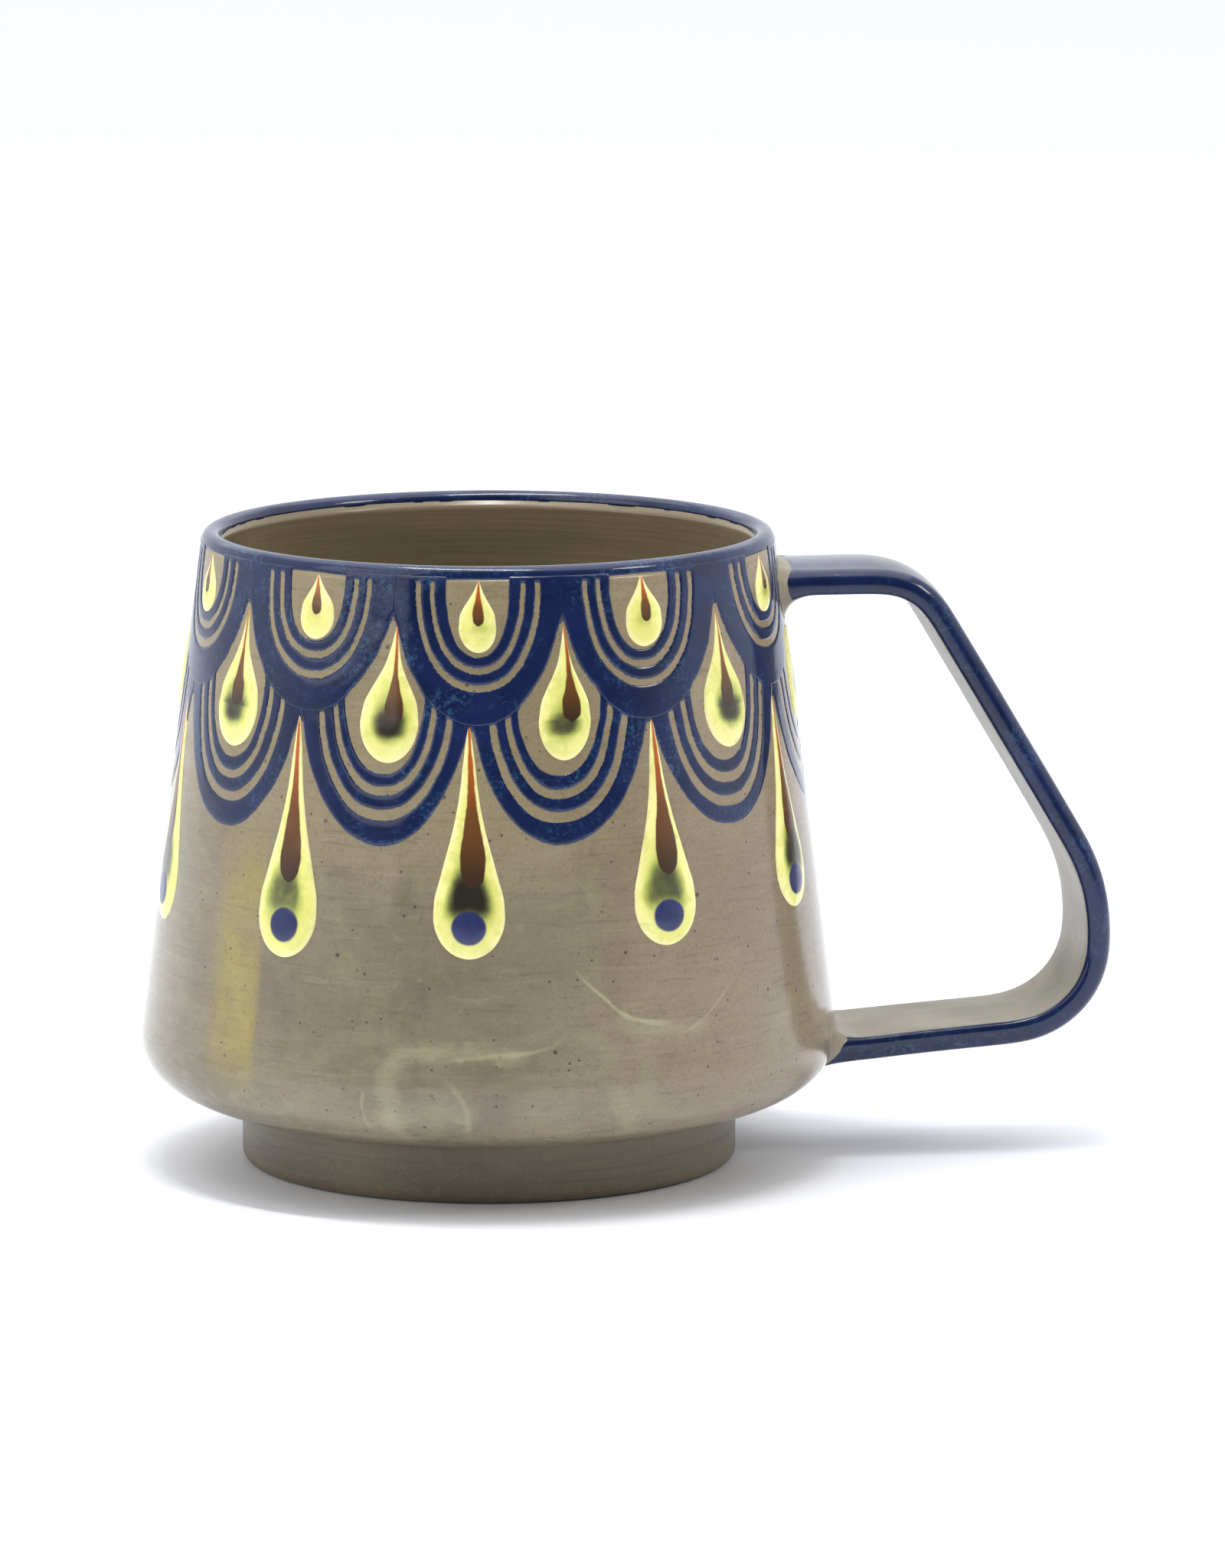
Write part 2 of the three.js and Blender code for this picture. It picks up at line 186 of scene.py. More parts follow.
def turned(profile, segments, uneven=True):
    """A closed skin of revolution round [(radius, height), ...], from the axis back to the axis."""
    angle = np.linspace(0, 2 * np.pi, segments, endpoint=False)[None, :]
    r, z = [np.repeat(c[:, None], segments, axis=1) for c in np.array(profile[1:-1]).T]
    if uneven:
        r = r + hand_thrown(angle, z)
    rings = np.stack([r * np.cos(angle), r * np.sin(angle), z], axis=-1)
    start, end = [[(0.0, 0.0, profile[k][1])] for k in (0, -1)]
    vertices = np.concatenate([start, rings.reshape(-1, 3), end])
    top = 1 + (len(rings) - 1) * segments
    faces = []
    for s in range(segments):
        n = (s + 1) % segments
        faces.append((0, 1 + n, 1 + s))
        for a in range(1, top, segments):
            faces.append((a + s, a + n, a + segments + n, a + segments + s))
        faces.append((top + s, top + n, len(vertices) - 1))
    return vertices, faces


# ---------- materials ----------
def srgb(red, green, blue):
    """A colour from its usual 0 to 255 values, as the linear one that shaders take."""
    return tuple(((c / 255 + 0.055) / 1.055) ** 2.4 for c in (red, green, blue)) + (1.0,)


def add_node(tree, kind, *numbered, **named):
    """A new shader node with the given inputs, as (number, value) or by name.

    An underscore in an input's name means a space. Names in lower case are the node's own settings.
    """
    node = tree.nodes.new("ShaderNode" + kind)
    inputs = list(numbered)
    for key, value in named.items():
        if key.islower():
            setattr(node, key, value)
        else:
            inputs.append((key.replace("_", " "), value))
    for key, value in inputs:
        if isinstance(value, bpy.types.NodeSocket):
            tree.links.new(value, node.inputs[key])
        else:
            node.inputs[key].default_value = value
    return node


class Look:
    """A material and short ways to add nodes to it. Places are in metres, in the mug's frame."""

    def __init__(self, name, roughness, ior=1.5):
        self.material = bpy.data.materials.new(name)
        self.material.use_nodes = True
        self.tree = self.material.node_tree
        self.shader = self.tree.nodes["Principled BSDF"]
        self.shader.inputs["Roughness"].default_value = roughness
        self.shader.inputs["IOR"].default_value = ior
        self.place = self.new("TexCoord").outputs["Object"]

    def new(self, *args, **named):
        return add_node(self.tree, *args, **named)

    def attribute(self, name):
        return self.new("Attribute", attribute_name=name).outputs["Fac"]

    def noise(self, stretch, detail=3.0, rough=0.55, twist=0.0, at=(0, 0, 0)):
        """Smooth noise from 0 to 1. stretch is its fineness along X, Y and Z, per metre."""
        mapping = self.new("Mapping", Vector=self.place, Scale=stretch, Location=at)
        node = self.new("TexNoise", Vector=mapping.outputs["Vector"], Scale=1.0, Detail=detail,
                        Roughness=rough, Distortion=twist)
        return node.outputs["Fac"]

    def specks(self, fineness):
        """Distance to the nearest of many scattered points, in cells, and a random number."""
        node = self.new("TexVoronoi", Vector=self.place, Scale=fineness)
        parts = self.new("SeparateColor", Color=node.outputs["Color"])
        return node.outputs["Distance"], parts.outputs["Red"]

    def math(self, operation, a, b=0.0):
        return self.new("Math", (0, a), (1, b), operation=operation).outputs[0]

    def times(self, *factors):
        """The product of some values."""
        result = factors[0]
        for factor in factors[1:]:
            result = self.math("MULTIPLY", result, factor)
        return result

    def rise(self, value, low, high, start=0.0, end=1.0):
        """A smooth step of a value: start below low, end above high."""
        node = self.new("MapRange", Value=value, From_Min=low, From_Max=high, To_Min=start,
                        To_Max=end, interpolation_type="SMOOTHSTEP")
        return node.outputs["Result"]

    def mix(self, share, a, b):
        return self.new("Mix", (0, share), (6, a), (7, b), data_type="RGBA").outputs[2]

    def between(self, value, low, high, first, second):
        """The first colour below low, the second above high."""
        return self.mix(self.rise(value, low, high), srgb(*first), srgb(*second))

    def over(self, under, value, steps, *rgb):
        """A colour laid over another, by the share that a value's smooth step gives."""
        return self.mix(self.rise(value, *steps), under, srgb(*rgb))

    def layers(self, colour, noises):
        """A colour under layers of (noise, smooth step, colour)."""
        for shape, steps, rgb in noises:
            colour = self.over(colour, self.noise(*shape), steps, *rgb)
        return colour

    def where(self):
        """The direction round the cup, from -180 to 180 degrees, and the height in metres."""
        parts = self.new("SeparateXYZ", Vector=self.place).outputs
        angle = self.math("ARCTAN2", parts["Y"], parts["X"])
        return self.times(angle, 180 / math.pi), parts["Z"]

    def curve(self, value, points):
        """A smooth curve through points [(x, y), ...] in the unit square, read at a value."""
        node = self.new("FloatCurve", Value=value)
        line = node.mapping.curves[0]
        for x, y in points[1:-1]:
            line.points.new(x, y)
        line.points[0].location = points[0]
        line.points[-1].location = points[-1]
        node.mapping.update()
        return node.outputs["Value"]

    def finish(self, colour, *bumps):
        """The material in its colour, with bumps from pairs of (height 0 to 1, depth in mm)."""
        self.tree.links.new(colour, self.shader.inputs["Base Color"])
        normal = None
        for value, depth in bumps:
            below = {"Normal": normal} if normal else {}
            normal = self.new("Bump", Height=value, Distance=depth * MM, **below).outputs["Normal"]
        self.tree.links.new(normal, self.shader.inputs["Normal"])
        return self.material


# Noises over the clay's colour: (stretch, detail, roughness, twist, place), (low, high, share below
# low, share above high), colour.
CLAY_CLOUDS = [
    (((60, 60, 75), 4, 0.55, 1.4, (3, 1, 7)), (0.5, 0.72, 0, 0.5), (140, 136, 104)),
    (((80, 80, 36), 4, 0.65, 0.4, (5, 2, 9)), (0.52, 0.72, 0, 0.4), (108, 98, 82)),
]
CLAY_GRAIN = [
    (((95, 95, 1150), 5, 0.7, 0.5, (0, 5, 0)), (0.52, 0.72, 0, 0.36), (94, 84, 68)),
    (((200, 200, 1700), 3, 0.65, 0.4, (2, 6, 1)), (0.62, 0.78, 0, 0.4), (82, 71, 58)),
    (((80, 80, 800), 4, 0.65, 0.5, (9, 0, 2)), (0.55, 0.8, 0, 0.3), (172, 164, 142)),
    (((400, 400, 560), 5, 0.7, 0.6, (1, 3, 8)), (0.54, 0.74, 0, 0.34), (160, 155, 130)),
    (((400, 400, 560), 5, 0.7, 0.6, (1, 3, 8)), (0.28, 0.44, 0.34, 0), (104, 95, 79)),
    (((1700, 1700, 1700), 3, 0.75), (0.48, 0.75, 0, 0.45), (104, 94, 77)),
]
CLAY_SPECKS = [(260, 0.11, 0.55), (560, 0.15, 0.66)]  # (fineness, size, share left out)


def clay_under_glaze(look):
    """The colour of the buff clay as it shows through the olive glaze."""
    cloud = look.noise((26, 26, 34), 5, 0.6, 0.6)
    colour = look.between(cloud, 0.3, 0.7, (120, 111, 92), (144, 134, 111))
    colour = look.layers(colour, CLAY_CLOUDS)
    around, height = look.where()
    # a yellow-green band runs up the left of the front
    band = look.times(look.rise(look.noise((90, 90, 60), 4, 0.6), 0.28, 0.6, 0.25, 0.8),
                      look.rise(around, -153, -146), look.rise(around, -140.5, -138, 1, 0),
                      look.rise(height, 0.012, 0.028), look.rise(height, 0.046, 0.06, 1, 0))
    colour = look.mix(band, colour, srgb(168, 152, 84))
    # the upper part is more golden, and the front right is warmer
    colour = look.over(colour, height, (0.046, 0.066, 0, 0.42), 158, 141, 102)
    warm = look.times(look.rise(around, -84, -62, 0, 0.45), look.rise(around, -30, -5, 1, 0))
    colour = look.mix(warm, colour, srgb(150, 131, 109))
    colour = look.layers(colour, CLAY_GRAIN)
    for fineness, size, share in CLAY_SPECKS:
        distance, chance = look.specks(fineness)
        speck = look.times(look.rise(distance, size / 2, size, 0.75, 0),
                           look.rise(chance, share, share + 0.03))
        colour = look.mix(speck, colour, srgb(60, 50, 43))
    return colour


# Pale wisps of slip low on the front: (runs round, width, strength, knots). A wisp that runs round
# has knots (direction, height), and any other has (height, direction), in degrees and millimetres.
WISPS = [
    (True, 2.3, 0.34, [(-116, 25.2), (-108, 25.4), (-101, 25.4), (-95, 25.3), (-88, 25.8)]),
    (True, 0.55, 0.42, [(-106, 23.9), (-98, 24.9), (-91, 25.4), (-87.3, 26.1), (-84.9, 27.4),
                        (-83.6, 29.3), (-83.1, 32)]),
    (False, 2.4, 0.26, [(10, -111), (15, -113), (20, -114), (23.5, -113), (27, -109)]),
    (False, 0.45, 0.3, [(13, -117), (16, -118), (20, -117.6)]),
    (True, 2.8, 0.2, [(-118, 16.4), (-112, 16), (-106, 16.4), (-98, 16.6)]),
    (False, 0.9, 0.32, [(12.5, -101), (16, -100.6), (19, -102), (22, -105)]),
    (True, 0.6, 0.55, [(-83.4, 37.8), (-81, 35.3), (-78, 32.9), (-75.4, 30.8), (-73, 29.6),
                       (-69.5, 28.8), (-65, 28.4)]),
    (True, 1.9, 0.24, [(-77, 29), (-70, 27.6), (-63, 26.8), (-57, 27.4)]),
    (True, 0.5, 0.25, [(-65, 26.3), (-61, 27.6), (-57, 29.8), (-52, 33.5)]),
    (False, 2.8, 0.2, [(11, -73), (15, -74), (18, -75.5), (21, -77)]),
]


def wisp(look, runs_round, width, strength, knots):
    """How much of one wisp shows at each place."""
    around, height = look.where()
    height = look.times(height, 1 / MM)
    along, across = (around, height) if runs_round else (height, around)
    start, end = knots[0][0], knots[-1][0]
    lows = min(k[1] for k in knots) - 1
    span = max(k[1] for k in knots) + 1 - lows
    share = look.math("DIVIDE", look.math("SUBTRACT", along, start), end - start)
    shape = [((a - start) / (end - start), (b - lows) / span) for a, b in knots]
    middle = look.math("ADD", look.times(look.curve(share, shape), span), lows)
    away = look.math("ABSOLUTE", look.math("SUBTRACT", across, middle))
    if not runs_round:
        away = look.times(away, math.radians(1) * BELLY_RADIUS)
    fray = 0.35 * width
    frayed = look.rise(look.noise((220, 220, 400), 5, 0.7), 0.3, 0.7, -fray, fray)
    line = look.rise(look.math("ADD", away, frayed), 0, width, strength, 0)
    return look.times(line, look.rise(share, 0, 0.2), look.rise(share, 0.75, 1, 1, 0))


def make_clay():
    look = Look("glazed_clay", 0.16)
    colour = clay_under_glaze(look)
    milk = look.noise((38, 38, 60), 5, 0.6, 2.4, (1, 8, 3))
    haze = look.times(look.rise(milk, 0.52, 0.7, 0, 0.3),
                      look.rise(look.where()[1], 0.018, 0.045, 1, 0))
    colour = look.mix(haze, colour, srgb(160, 156, 126))
    for one in WISPS:
        colour = look.mix(wisp(look, *one), colour, srgb(186, 183, 146))
    fine = look.noise((260, 260, 260), 2)
    return look.finish(colour, (look.noise((60, 60, 700), 3), 0.06), (fine, 0.04))


def plain_clay(name, roughness, ior, cloud, dark, pale, *layers):
    """Clouds of two colours under layers of (noise, smooth step, colour, depth of its bumps)."""
    look = Look(name, roughness, ior)
    colour = look.between(look.noise(cloud, 4), 0.3, 0.7, dark, pale)
    bumps = []
    for shape, steps, rgb, depth in layers:
        noise_here = look.noise(*shape)
        colour = look.over(colour, noise_here, steps, *rgb)
        if depth:
            bumps.append((noise_here, depth))
    return look, colour, bumps


def make_handle_clay():
    """The handle's clay, whose glaze is thin and dull."""
    look, colour, bumps = plain_clay(
        "glazed_clay_handle", 0.38, 1.4, (90, 90, 90), (128, 120, 102), (152, 144, 124),
        (((1500, 1500, 1500), 3, 0.7), (0.48, 0.8, 0, 0.4), (100, 90, 74), 0),
        (((60, 900, 60), 4, 0.6), (0.5, 0.75, 0, 0.3), (168, 160, 140), 0.05))
    return look.finish(colour, *bumps, (look.noise((260, 260, 260), 2), 0.05))


def make_inside():
    """The same glaze inside the cup, where it lies thicker and browner."""
    look, colour, bumps = plain_clay(
        "glazed_clay_inside", 0.2, 1.5, (22, 22, 60), (128, 116, 92), (148, 136, 110),
        (((20, 20, 700), 3, 0.6), (0.5, 0.8, 0, 0.3), (112, 101, 78), 0.1))
    return look.finish(colour, *bumps)


def make_bare_clay():
    """The foot's clay, under a thin dry glaze."""
    look, colour, bumps = plain_clay(
        "bare_clay", 0.42, 1.5, (30, 30, 90), (98, 88, 72), (119, 108, 86),
        (((25, 25, 1100), 4, 0.6), (0.45, 0.8, 0, 0.45), (84, 74, 58), 0.08),
        (((1300, 1300, 1300), 2, 0.7), (0.5, 0.8, 0, 0.3), (142, 130, 106), 0.05))
    return look.finish(colour, *bumps)


def make_cobalt():
    """Cobalt under the clear glaze. It thins out to clay where the attribute cover falls to 0."""
    look = Look("cobalt_glaze", 0.12)
    cloud = look.noise((70, 70, 90), 5, 0.6, 0.8)
    colour = look.between(cloud, 0.3, 0.7, (7, 25, 61), (23, 37, 80))
    patch = look.noise((120, 120, 150), 3, 0.6, 0, (4, 4, 4))
    fine = look.noise((1500, 1500, 1500), 3, 0.75)
    grains = look.times(look.rise(fine, 0.48, 0.64, 0, 0.55), look.rise(patch, 0.44, 0.64))
    colour = look.mix(grains, colour, srgb(58, 96, 130))
    thin = look.noise((420, 420, 420), 4, 0.7)
    colour = look.over(colour, thin, (0.56, 0.8, 0, 0.45), 52, 66, 112)
    sand = look.rise(look.noise((2200, 2200, 2200), 2, 0.7), 0.3, 0.7, -0.1, 0.16)
    cover = look.math("ADD", look.attribute("cover"), sand)
    stained = look.mix(0.45, clay_under_glaze(look), srgb(114, 124, 108))
    colour = look.mix(look.rise(cover, -0.24, -0.08), stained, colour)
    return look.finish(colour, (look.noise((260, 260, 260), 2), 0.04), (thin, 0.02))


# The colours of a drop's shade, each taking over between two of its darknesses.
SHADE = [(0.04, 0.32, 192, 197, 98), (0.22, 0.56, 128, 134, 74), (0.45, 0.74, 78, 80, 52),
         (0.66, 0.95, 42, 39, 31)]


def make_lime():
    """A slip-trailed drop: lime slip, a brown stroke, a dark shade and on long ones a blue dot."""
    look = Look("lime_slip", 0.14)
    edge, along = look.attribute("edge"), look.attribute("along")
    cloud = look.noise((150, 150, 150), 4)
    lime = look.between(cloud, 0.3, 0.7, (232, 229, 128), (247, 243, 158))
    lime = look.over(lime, edge, (0.1, 0.9, 0.6, 0), 252, 244, 182)
    lime = look.over(lime, edge, (0.7, 3, 0, 0.5), 204, 209, 112)
    mottle = look.noise((330, 330, 300), 5, 0.65, 0.8, (2, 7, 5))
    lime = look.over(lime, mottle, (0.48, 0.66, 0, 0.55), 208, 216, 112)
    lime = look.over(lime, mottle, (0.2, 0.4, 0.4, 0), 250, 242, 186)
    blur = look.rise(look.noise((500, 500, 400), 3, 0.55), 0.25, 0.75, -0.07, 0.07)
    shade = look.math("ADD", look.attribute("shade"), blur)
    colour = lime
    for low, high, *rgb in SHADE:
        colour = look.over(colour, shade, (low, high), *rgb)
    dot = look.math("ADD", look.attribute("dot"), look.rise(cloud, 0.2, 0.8, -0.12, 0.12))
    blue = look.between(cloud, 0.35, 0.65, (40, 49, 90), (56, 62, 108))
    colour = look.mix(look.rise(dot, -0.18, 0.22), colour, blue)
    brown = look.between(along, 0.25, 0.6, (48, 37, 29), (106, 68, 34))
    brown = look.over(brown, along, (0.58, 0.9), 186, 92, 38)
    stroke = look.math("ADD", look.attribute("stroke"), blur)
    colour = look.mix(look.rise(stroke, -0.1, 0.14), colour, brown)
    return look.finish(colour, (look.noise((300, 300, 300), 2), 0.03))


CLAY = make_clay()
HANDLE_CLAY = make_handle_clay()
INSIDE = make_inside()
BARE_CLAY = make_bare_clay()
COBALT = make_cobalt()
LIME = make_lime()


# ---------- cup ----------
def wall_radius(z):
    """The straight wall's outer radius at a height."""
    share = (np.asarray(z, float) - BELLY_HEIGHT) / (LIP_HEIGHT - BELLY_HEIGHT)
    return BELLY_RADIUS + (LIP_OUTER - BELLY_RADIUS) * share


def on_wall(angle, z, outward):
    """Points on the wall at angles in radians, outward from its uneven surface."""
    angle, z, outward = np.broadcast_arrays(angle, z, outward)
    r = wall_radius(z) + hand_thrown(angle, z) + outward
    return np.stack([r * np.cos(angle), r * np.sin(angle), z], axis=-1)


def inner_radius(z):
    foot_r, foot_z = INNER_WALL_FOOT
    share = (np.asarray(z, float) - foot_z) / (LIP_HEIGHT - foot_z)
    return foot_r + (LIP_OUTER - LIP_THICKNESS - foot_r) * share


def lip_arc(radius, start, end, count):
    angles = np.radians(np.linspace(start, end, count))
    across = [LIP_RING + radius * np.cos(angles), LIP_HEIGHT + radius * np.sin(angles)]
    return np.stack(across, axis=-1)


def shoulder(count):
    """Points (radius, height) on the turn from the cup's underside up to its belly."""
    start, end = (UNDERSIDE_RADIUS, UNDERSIDE_HEIGHT), (BELLY_RADIUS, BELLY_HEIGHT)
    return bezier([start, *SHOULDER_CONTROLS, end], count)


def make_cup():
    wall_z = np.linspace(BELLY_HEIGHT, RIM_BAND_OUTSIDE, 90)[1:]
    wall = np.stack([wall_radius(wall_z), wall_z], axis=-1)
    lip = lip_arc(LIP_THICKNESS / 2 - 0.15, -10, 190, 22)
    inner_z = np.linspace(RIM_BAND_INSIDE, INNER_WALL_FOOT[1], 50)
    inner = np.stack([inner_radius(inner_z), inner_z], axis=-1)
    corner = bezier([INNER_WALL_FOOT, *FLOOR_CORNER], 22)[1:]
    floor_start, corner_height = corner[-1]
    floor_r = np.linspace(floor_start, 2, 12)[1:]
    floor_z = FLOOR_HEIGHT + (corner_height - FLOOR_HEIGHT) * (floor_r / floor_start) ** 2
    floor = np.stack([floor_r, floor_z], axis=-1)
    outside = [(20.0, UNDERSIDE_HEIGHT), *shoulder(36), *wall]
    inside = [*inner, *corner, *floor, (0.0, FLOOR_HEIGHT)]
    profile = [(0.0, UNDERSIDE_HEIGHT), *outside, *lip, *inside]
    cup = new_piece("cup", turned(profile, ROUND), CLAY, "cup_body")
    cup.data.materials.append(INSIDE)
    crest = 1 + (len(outside) + len(lip) // 2) * ROUND
    for face in cup.data.polygons:
        if min(face.vertices) >= crest:
            face.material_index = 1


def make_foot_ring():
    rounding = 1.5
    flat = FOOT_RADIUS - rounding
    under = [(r, 0.0) for r in np.linspace(4, flat, 12)[:-1]]
    edge = [(flat + rounding * math.sin(a), rounding - rounding * math.cos(a))
            for a in np.linspace(0, math.pi / 2, 9)]
    side = [(FOOT_RADIUS, z) for z in np.linspace(rounding, FOOT_HEIGHT - 0.6, 14)[1:]]
    joint = [(FOOT_RADIUS + 0.1, FOOT_HEIGHT - 0.2), (FOOT_RADIUS + 0.5, FOOT_HEIGHT + 0.4)]
    profile = [(0.0, 0.0), *under, *edge, *side, *joint, (0.0, FOOT_HEIGHT + 0.5)]
    foot = turned(profile, 240, uneven=False)
    new_piece("foot_ring", foot, BARE_CLAY, "foot")


def coat_height(cover, thickness):
    """How far a coat stands above the clay: buried past its edge, and its thickness inside."""
    return BURIED + (thickness - BURIED) * smooth(-0.34, 0.1, cover)


def make_rim():
    """Cobalt over the lip and a little way down both sides, to a ragged edge."""
    outside_z = np.linspace(RIM_BAND_OUTSIDE - 0.4, LIP_HEIGHT, 9)[:-1]
    inside_z = np.linspace(LIP_HEIGHT, RIM_BAND_INSIDE - 0.4, 10)[1:]
    outside = np.stack([wall_radius(outside_z), outside_z], axis=-1)
    inside = np.stack([inner_radius(inside_z), inside_z], axis=-1)
    profile = np.concatenate([outside, lip_arc(LIP_THICKNESS / 2, 0, 180, 20), inside])
    away = profile - (LIP_RING, LIP_HEIGHT)
    normal = away / np.linalg.norm(away, axis=1)[:, None]
    normal[:len(outside)] = (1, 0)
    normal[-len(inside):] = (-1, 0)
    angle = np.linspace(0, 2 * np.pi, ROUND, endpoint=False)
    ragged = 0.14 * ripple(9 * np.cos(angle), 9 * np.sin(angle), 0.0, 11)
    outer = np.arange(len(profile)) < len(profile) / 2
    border = np.where(outer, RIM_BAND_OUTSIDE, RIM_BAND_INSIDE)
    cover = np.minimum(profile[:, 1, None] - border[:, None] + ragged[None, :], 1.5)
    over_lip = slice(len(outside) + 2, -len(inside) - 3)
    cover[over_lip] = np.maximum(cover[over_lip], 0.8)

    def skin(lift):
        z = np.broadcast_to(profile[:, 1:], cover.shape)
        r = profile[:, :1] + normal[:, :1] * lift + hand_thrown(angle[None, :], z)
        return np.stack([r * np.cos(angle), r * np.sin(angle), z + normal[:, 1:] * lift], axis=-1)

    rim = slab(skin(coat_height(cover, 0.05)), skin(COAT_ROOT), {"cover": cover}, wrap=True)
    new_piece("rim_band", rim, COBALT, "rim_coat")


make_cup()
make_foot_ring()
make_rim()


# ---------- where the feathers and drops lie ----------
def row_directions(name):
    """The directions, from 0 to 360, of those of a row's ten drops that are in the frame."""
    found = {}
    for k in range(1, 11):
        node = f"{name}_{k:02d}"
        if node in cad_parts:
            low, high = node_box(node)
            x, y, _ = (low + high) / 2
            found[k] = math.degrees(math.atan2(y, x)) % 360
    return found


LOWER = row_directions("drop_medium")
LONG = row_directions("drop_long")
UPPER = row_directions("drop_small")
# an upper feather whose drop the handle's joint hides lies between two lower ones
for missing in set(LOWER) - set(UPPER):
    before = LOWER[missing - 1] if missing > 1 else LOWER[10] - 360
    UPPER[missing] = (before + LOWER[missing]) / 2
UPPER = dict(sorted(UPPER.items()))


# How the painter's hand really put down each dab of a row, 1 to 10, in millimetres. A feather
# against an even layout: (to the right, up, its hem up). A drop: (to the right, bottom up, tip to
# the right, stroke's thick end to the right, width against the row's, darkness of the shade).
BY_HAND = {
    "upper": [(0.2, 0.3, 0.2), (-0.3, -0.2, -0.1), (0.4, 0.1, 0.1), (-0.2, 0.4, 0.2),
              (0.1, -0.4, -0.2), (-0.3, 2.2, 1.6), (0.5, 1, 1), (-0.1, -0.1, 0),
              (-0.15, 0, 0.1), (0.2, 2.4, 1.6)],
    "lower": [(0.3, 0.2, 0.1), (-0.6, -0.3, -0.2), (0.4, 0.5, 0.3), (-0.2, -0.4, -0.2),
              (0.5, 0.2, 0.1), (0.3, -0.1, -0.4), (-0.9, -0.1, -0.5), (-1.3, -0.3, -0.2),
              (-1.1, -0.3, 0.5), (-0.4, 0.1, 0.1)],
    "small": [(0, 0.5, 0, 0.1, 1, 0.4), (0.3, 0.3, 0.2, 0.1, 1.03, 0.3),
              (-0.2, 0.6, -0.2, 0, 0.98, 0.5), (0.2, 0.2, 0.1, 0.2, 1, 0.3),
              (0, 0.6, 0, 0.1, 1.02, 0.4), (-0.3, 2, 0, 0.1, 1, 0.3),
              (0.6, 1.3, -0.1, 0.1, 1.02, 0.2), (0, 0.4, 0, 0.15, 0.93, 0.32),
              (0.4, 0.4, 0, 0.2, 1.06, 0.3), (0.2, 2.2, 0, 0.1, 1, 0.45)],
    "medium": [(0.2, 0.4, 0.5, 0.5, 1, 0.85), (-0.3, 0.5, -0.4, 0.2, 1.05, 0.8),
               (0.1, 0.1, 0.3, 0.6, 0.97, 1), (0.3, 0.5, 0.6, 0.7, 1.02, 0.85),
               (-0.2, 0.3, -0.3, 0.3, 1.04, 0.9), (0.4, 0.3, 0.8, 0.5, 1.12, 0.8),
               (-0.25, 0.4, 0.9, 0.9, 1.02, 0.95), (-0.45, 0.9, 0.5, 1, 0.89, 0.7),
               (0.1, 0.4, -0.5, 0.3, 1.07, 0.85), (0, 0.2, 0, 0.4, 1, 0.85)],
    "long": [(0, 0.6, 0.3, 0.3, 1, 0.9), (0.2, -0.1, -0.2, 0.5, 1.03, 0.8),
             (-0.3, 0.8, 0.2, 0.2, 0.97, 1), (0.3, 0.4, 0, 0.4, 1, 0.7),
             (-0.2, -0.2, 0.4, 0.6, 1.02, 0.9), (0, -0.1, 0, 0.3, 1, 0.8),
             (0, -0.7, 0, 0.3, 1, 0.62), (0.3, 0.7, -0.2, 0.7, 0.99, 1),
             (0.4, 1.4, -0.4, 0.5, 1, 0.72), (0, 3, 0, 0.3, 1, 0.9)],
}
MEAN_RADIUS = 45  # of the decorated wall


# Each feather is ruled by six U-shaped curves, from its clay field outward, as (bottom, half width,
# shoulder height). Cobalt fills between curves 1 and 2, 3 and 4, and 5 and 6.
UPPER_CURVES = [(82.3, 4.95, 92), (81, 6.3, 92), (79.8, 7.35, 92),
                (78.4, 8.45, 92), (77, 9.55, 92), (72.6, 13.4, 93)]
LOWER_CURVES = [(65.2, 6.5, 77), (63.5, 7.3, 77), (61.9, 8.5, 77),
                (60.2, 9.75, 77), (58.5, 11, 77), (55.4, 14, 78)]
POWERS = (2.2, 2.2, 2.2, 2.2, 2.2, 2.0)  # how square each curve's shoulders are
UPPER_TOP = 93.7  # how high each row's sheets go, and the upper row's lines of clay
LOWER_TOP = 79.0
UPPER_LINE_TOP = 93.1
MERGE = 0.3  # neighbours run into each other by this much
GLAZE_RUN = 1.7  # gaps narrower than about half of this fill with glaze
TUCK = 0.9  # how far a lower feather goes under the upper ones
rng = random.Random(7)


class Feather:
    """One feather: its curves on each side, and how far any point is inside them."""

    def __init__(self, direction, before, after, hang, hem, curves, top):
        self.direction = direction
        self.reach = (math.radians(before), math.radians(after))
        self.top = top
        self.sides = []
        jitter = [(hang + rng.uniform(-0.1, 0.1), rng.uniform(-0.1, 0.1)) for _ in curves]
        for reach in (before, after):
            shoulder = curves[-1][2]
            outer = math.radians(reach) * float(wall_radius(shoulder)) + MERGE / 2
            stretch = 0.4 + 0.6 * outer / curves[-1][1]
            side = [(b + j[0], w * stretch + j[1], s) for (b, w, s), j in zip(curves, jitter)]
            side[-1] = (curves[-1][0] + hem, outer, shoulder)
            self.sides.append(side)

    def across(self, angle, z):
        """Millimetres round the wall from the feather's centre line."""
        turn = (angle - math.radians(self.direction) + math.pi) % (2 * math.pi) - math.pi
        return turn * wall_radius(z)

    def outside_of(self, curve, x, z):
        """Signed distance outward from one of the six curves."""
        p = POWERS[curve]
        result = np.empty_like(x)
        for left, side in ((True, self.sides[0]), (False, self.sides[1])):
            bottom, width, shoulder = side[curve]
            mine = (x < 0) == left
            u = np.abs(x[mine]) / width
            v = np.maximum((shoulder - z[mine]) / (shoulder - bottom), 0.0)
            value = np.maximum((u ** p + v ** p) ** (1 / p), 1e-6)
            slope_x = (u / value) ** (p - 1) / width
            slope_z = (v / value) ** (p - 1) / (shoulder - bottom)
            result[mine] = (value - 1) / np.maximum(np.hypot(slope_x, slope_z), 1e-3)
        return result


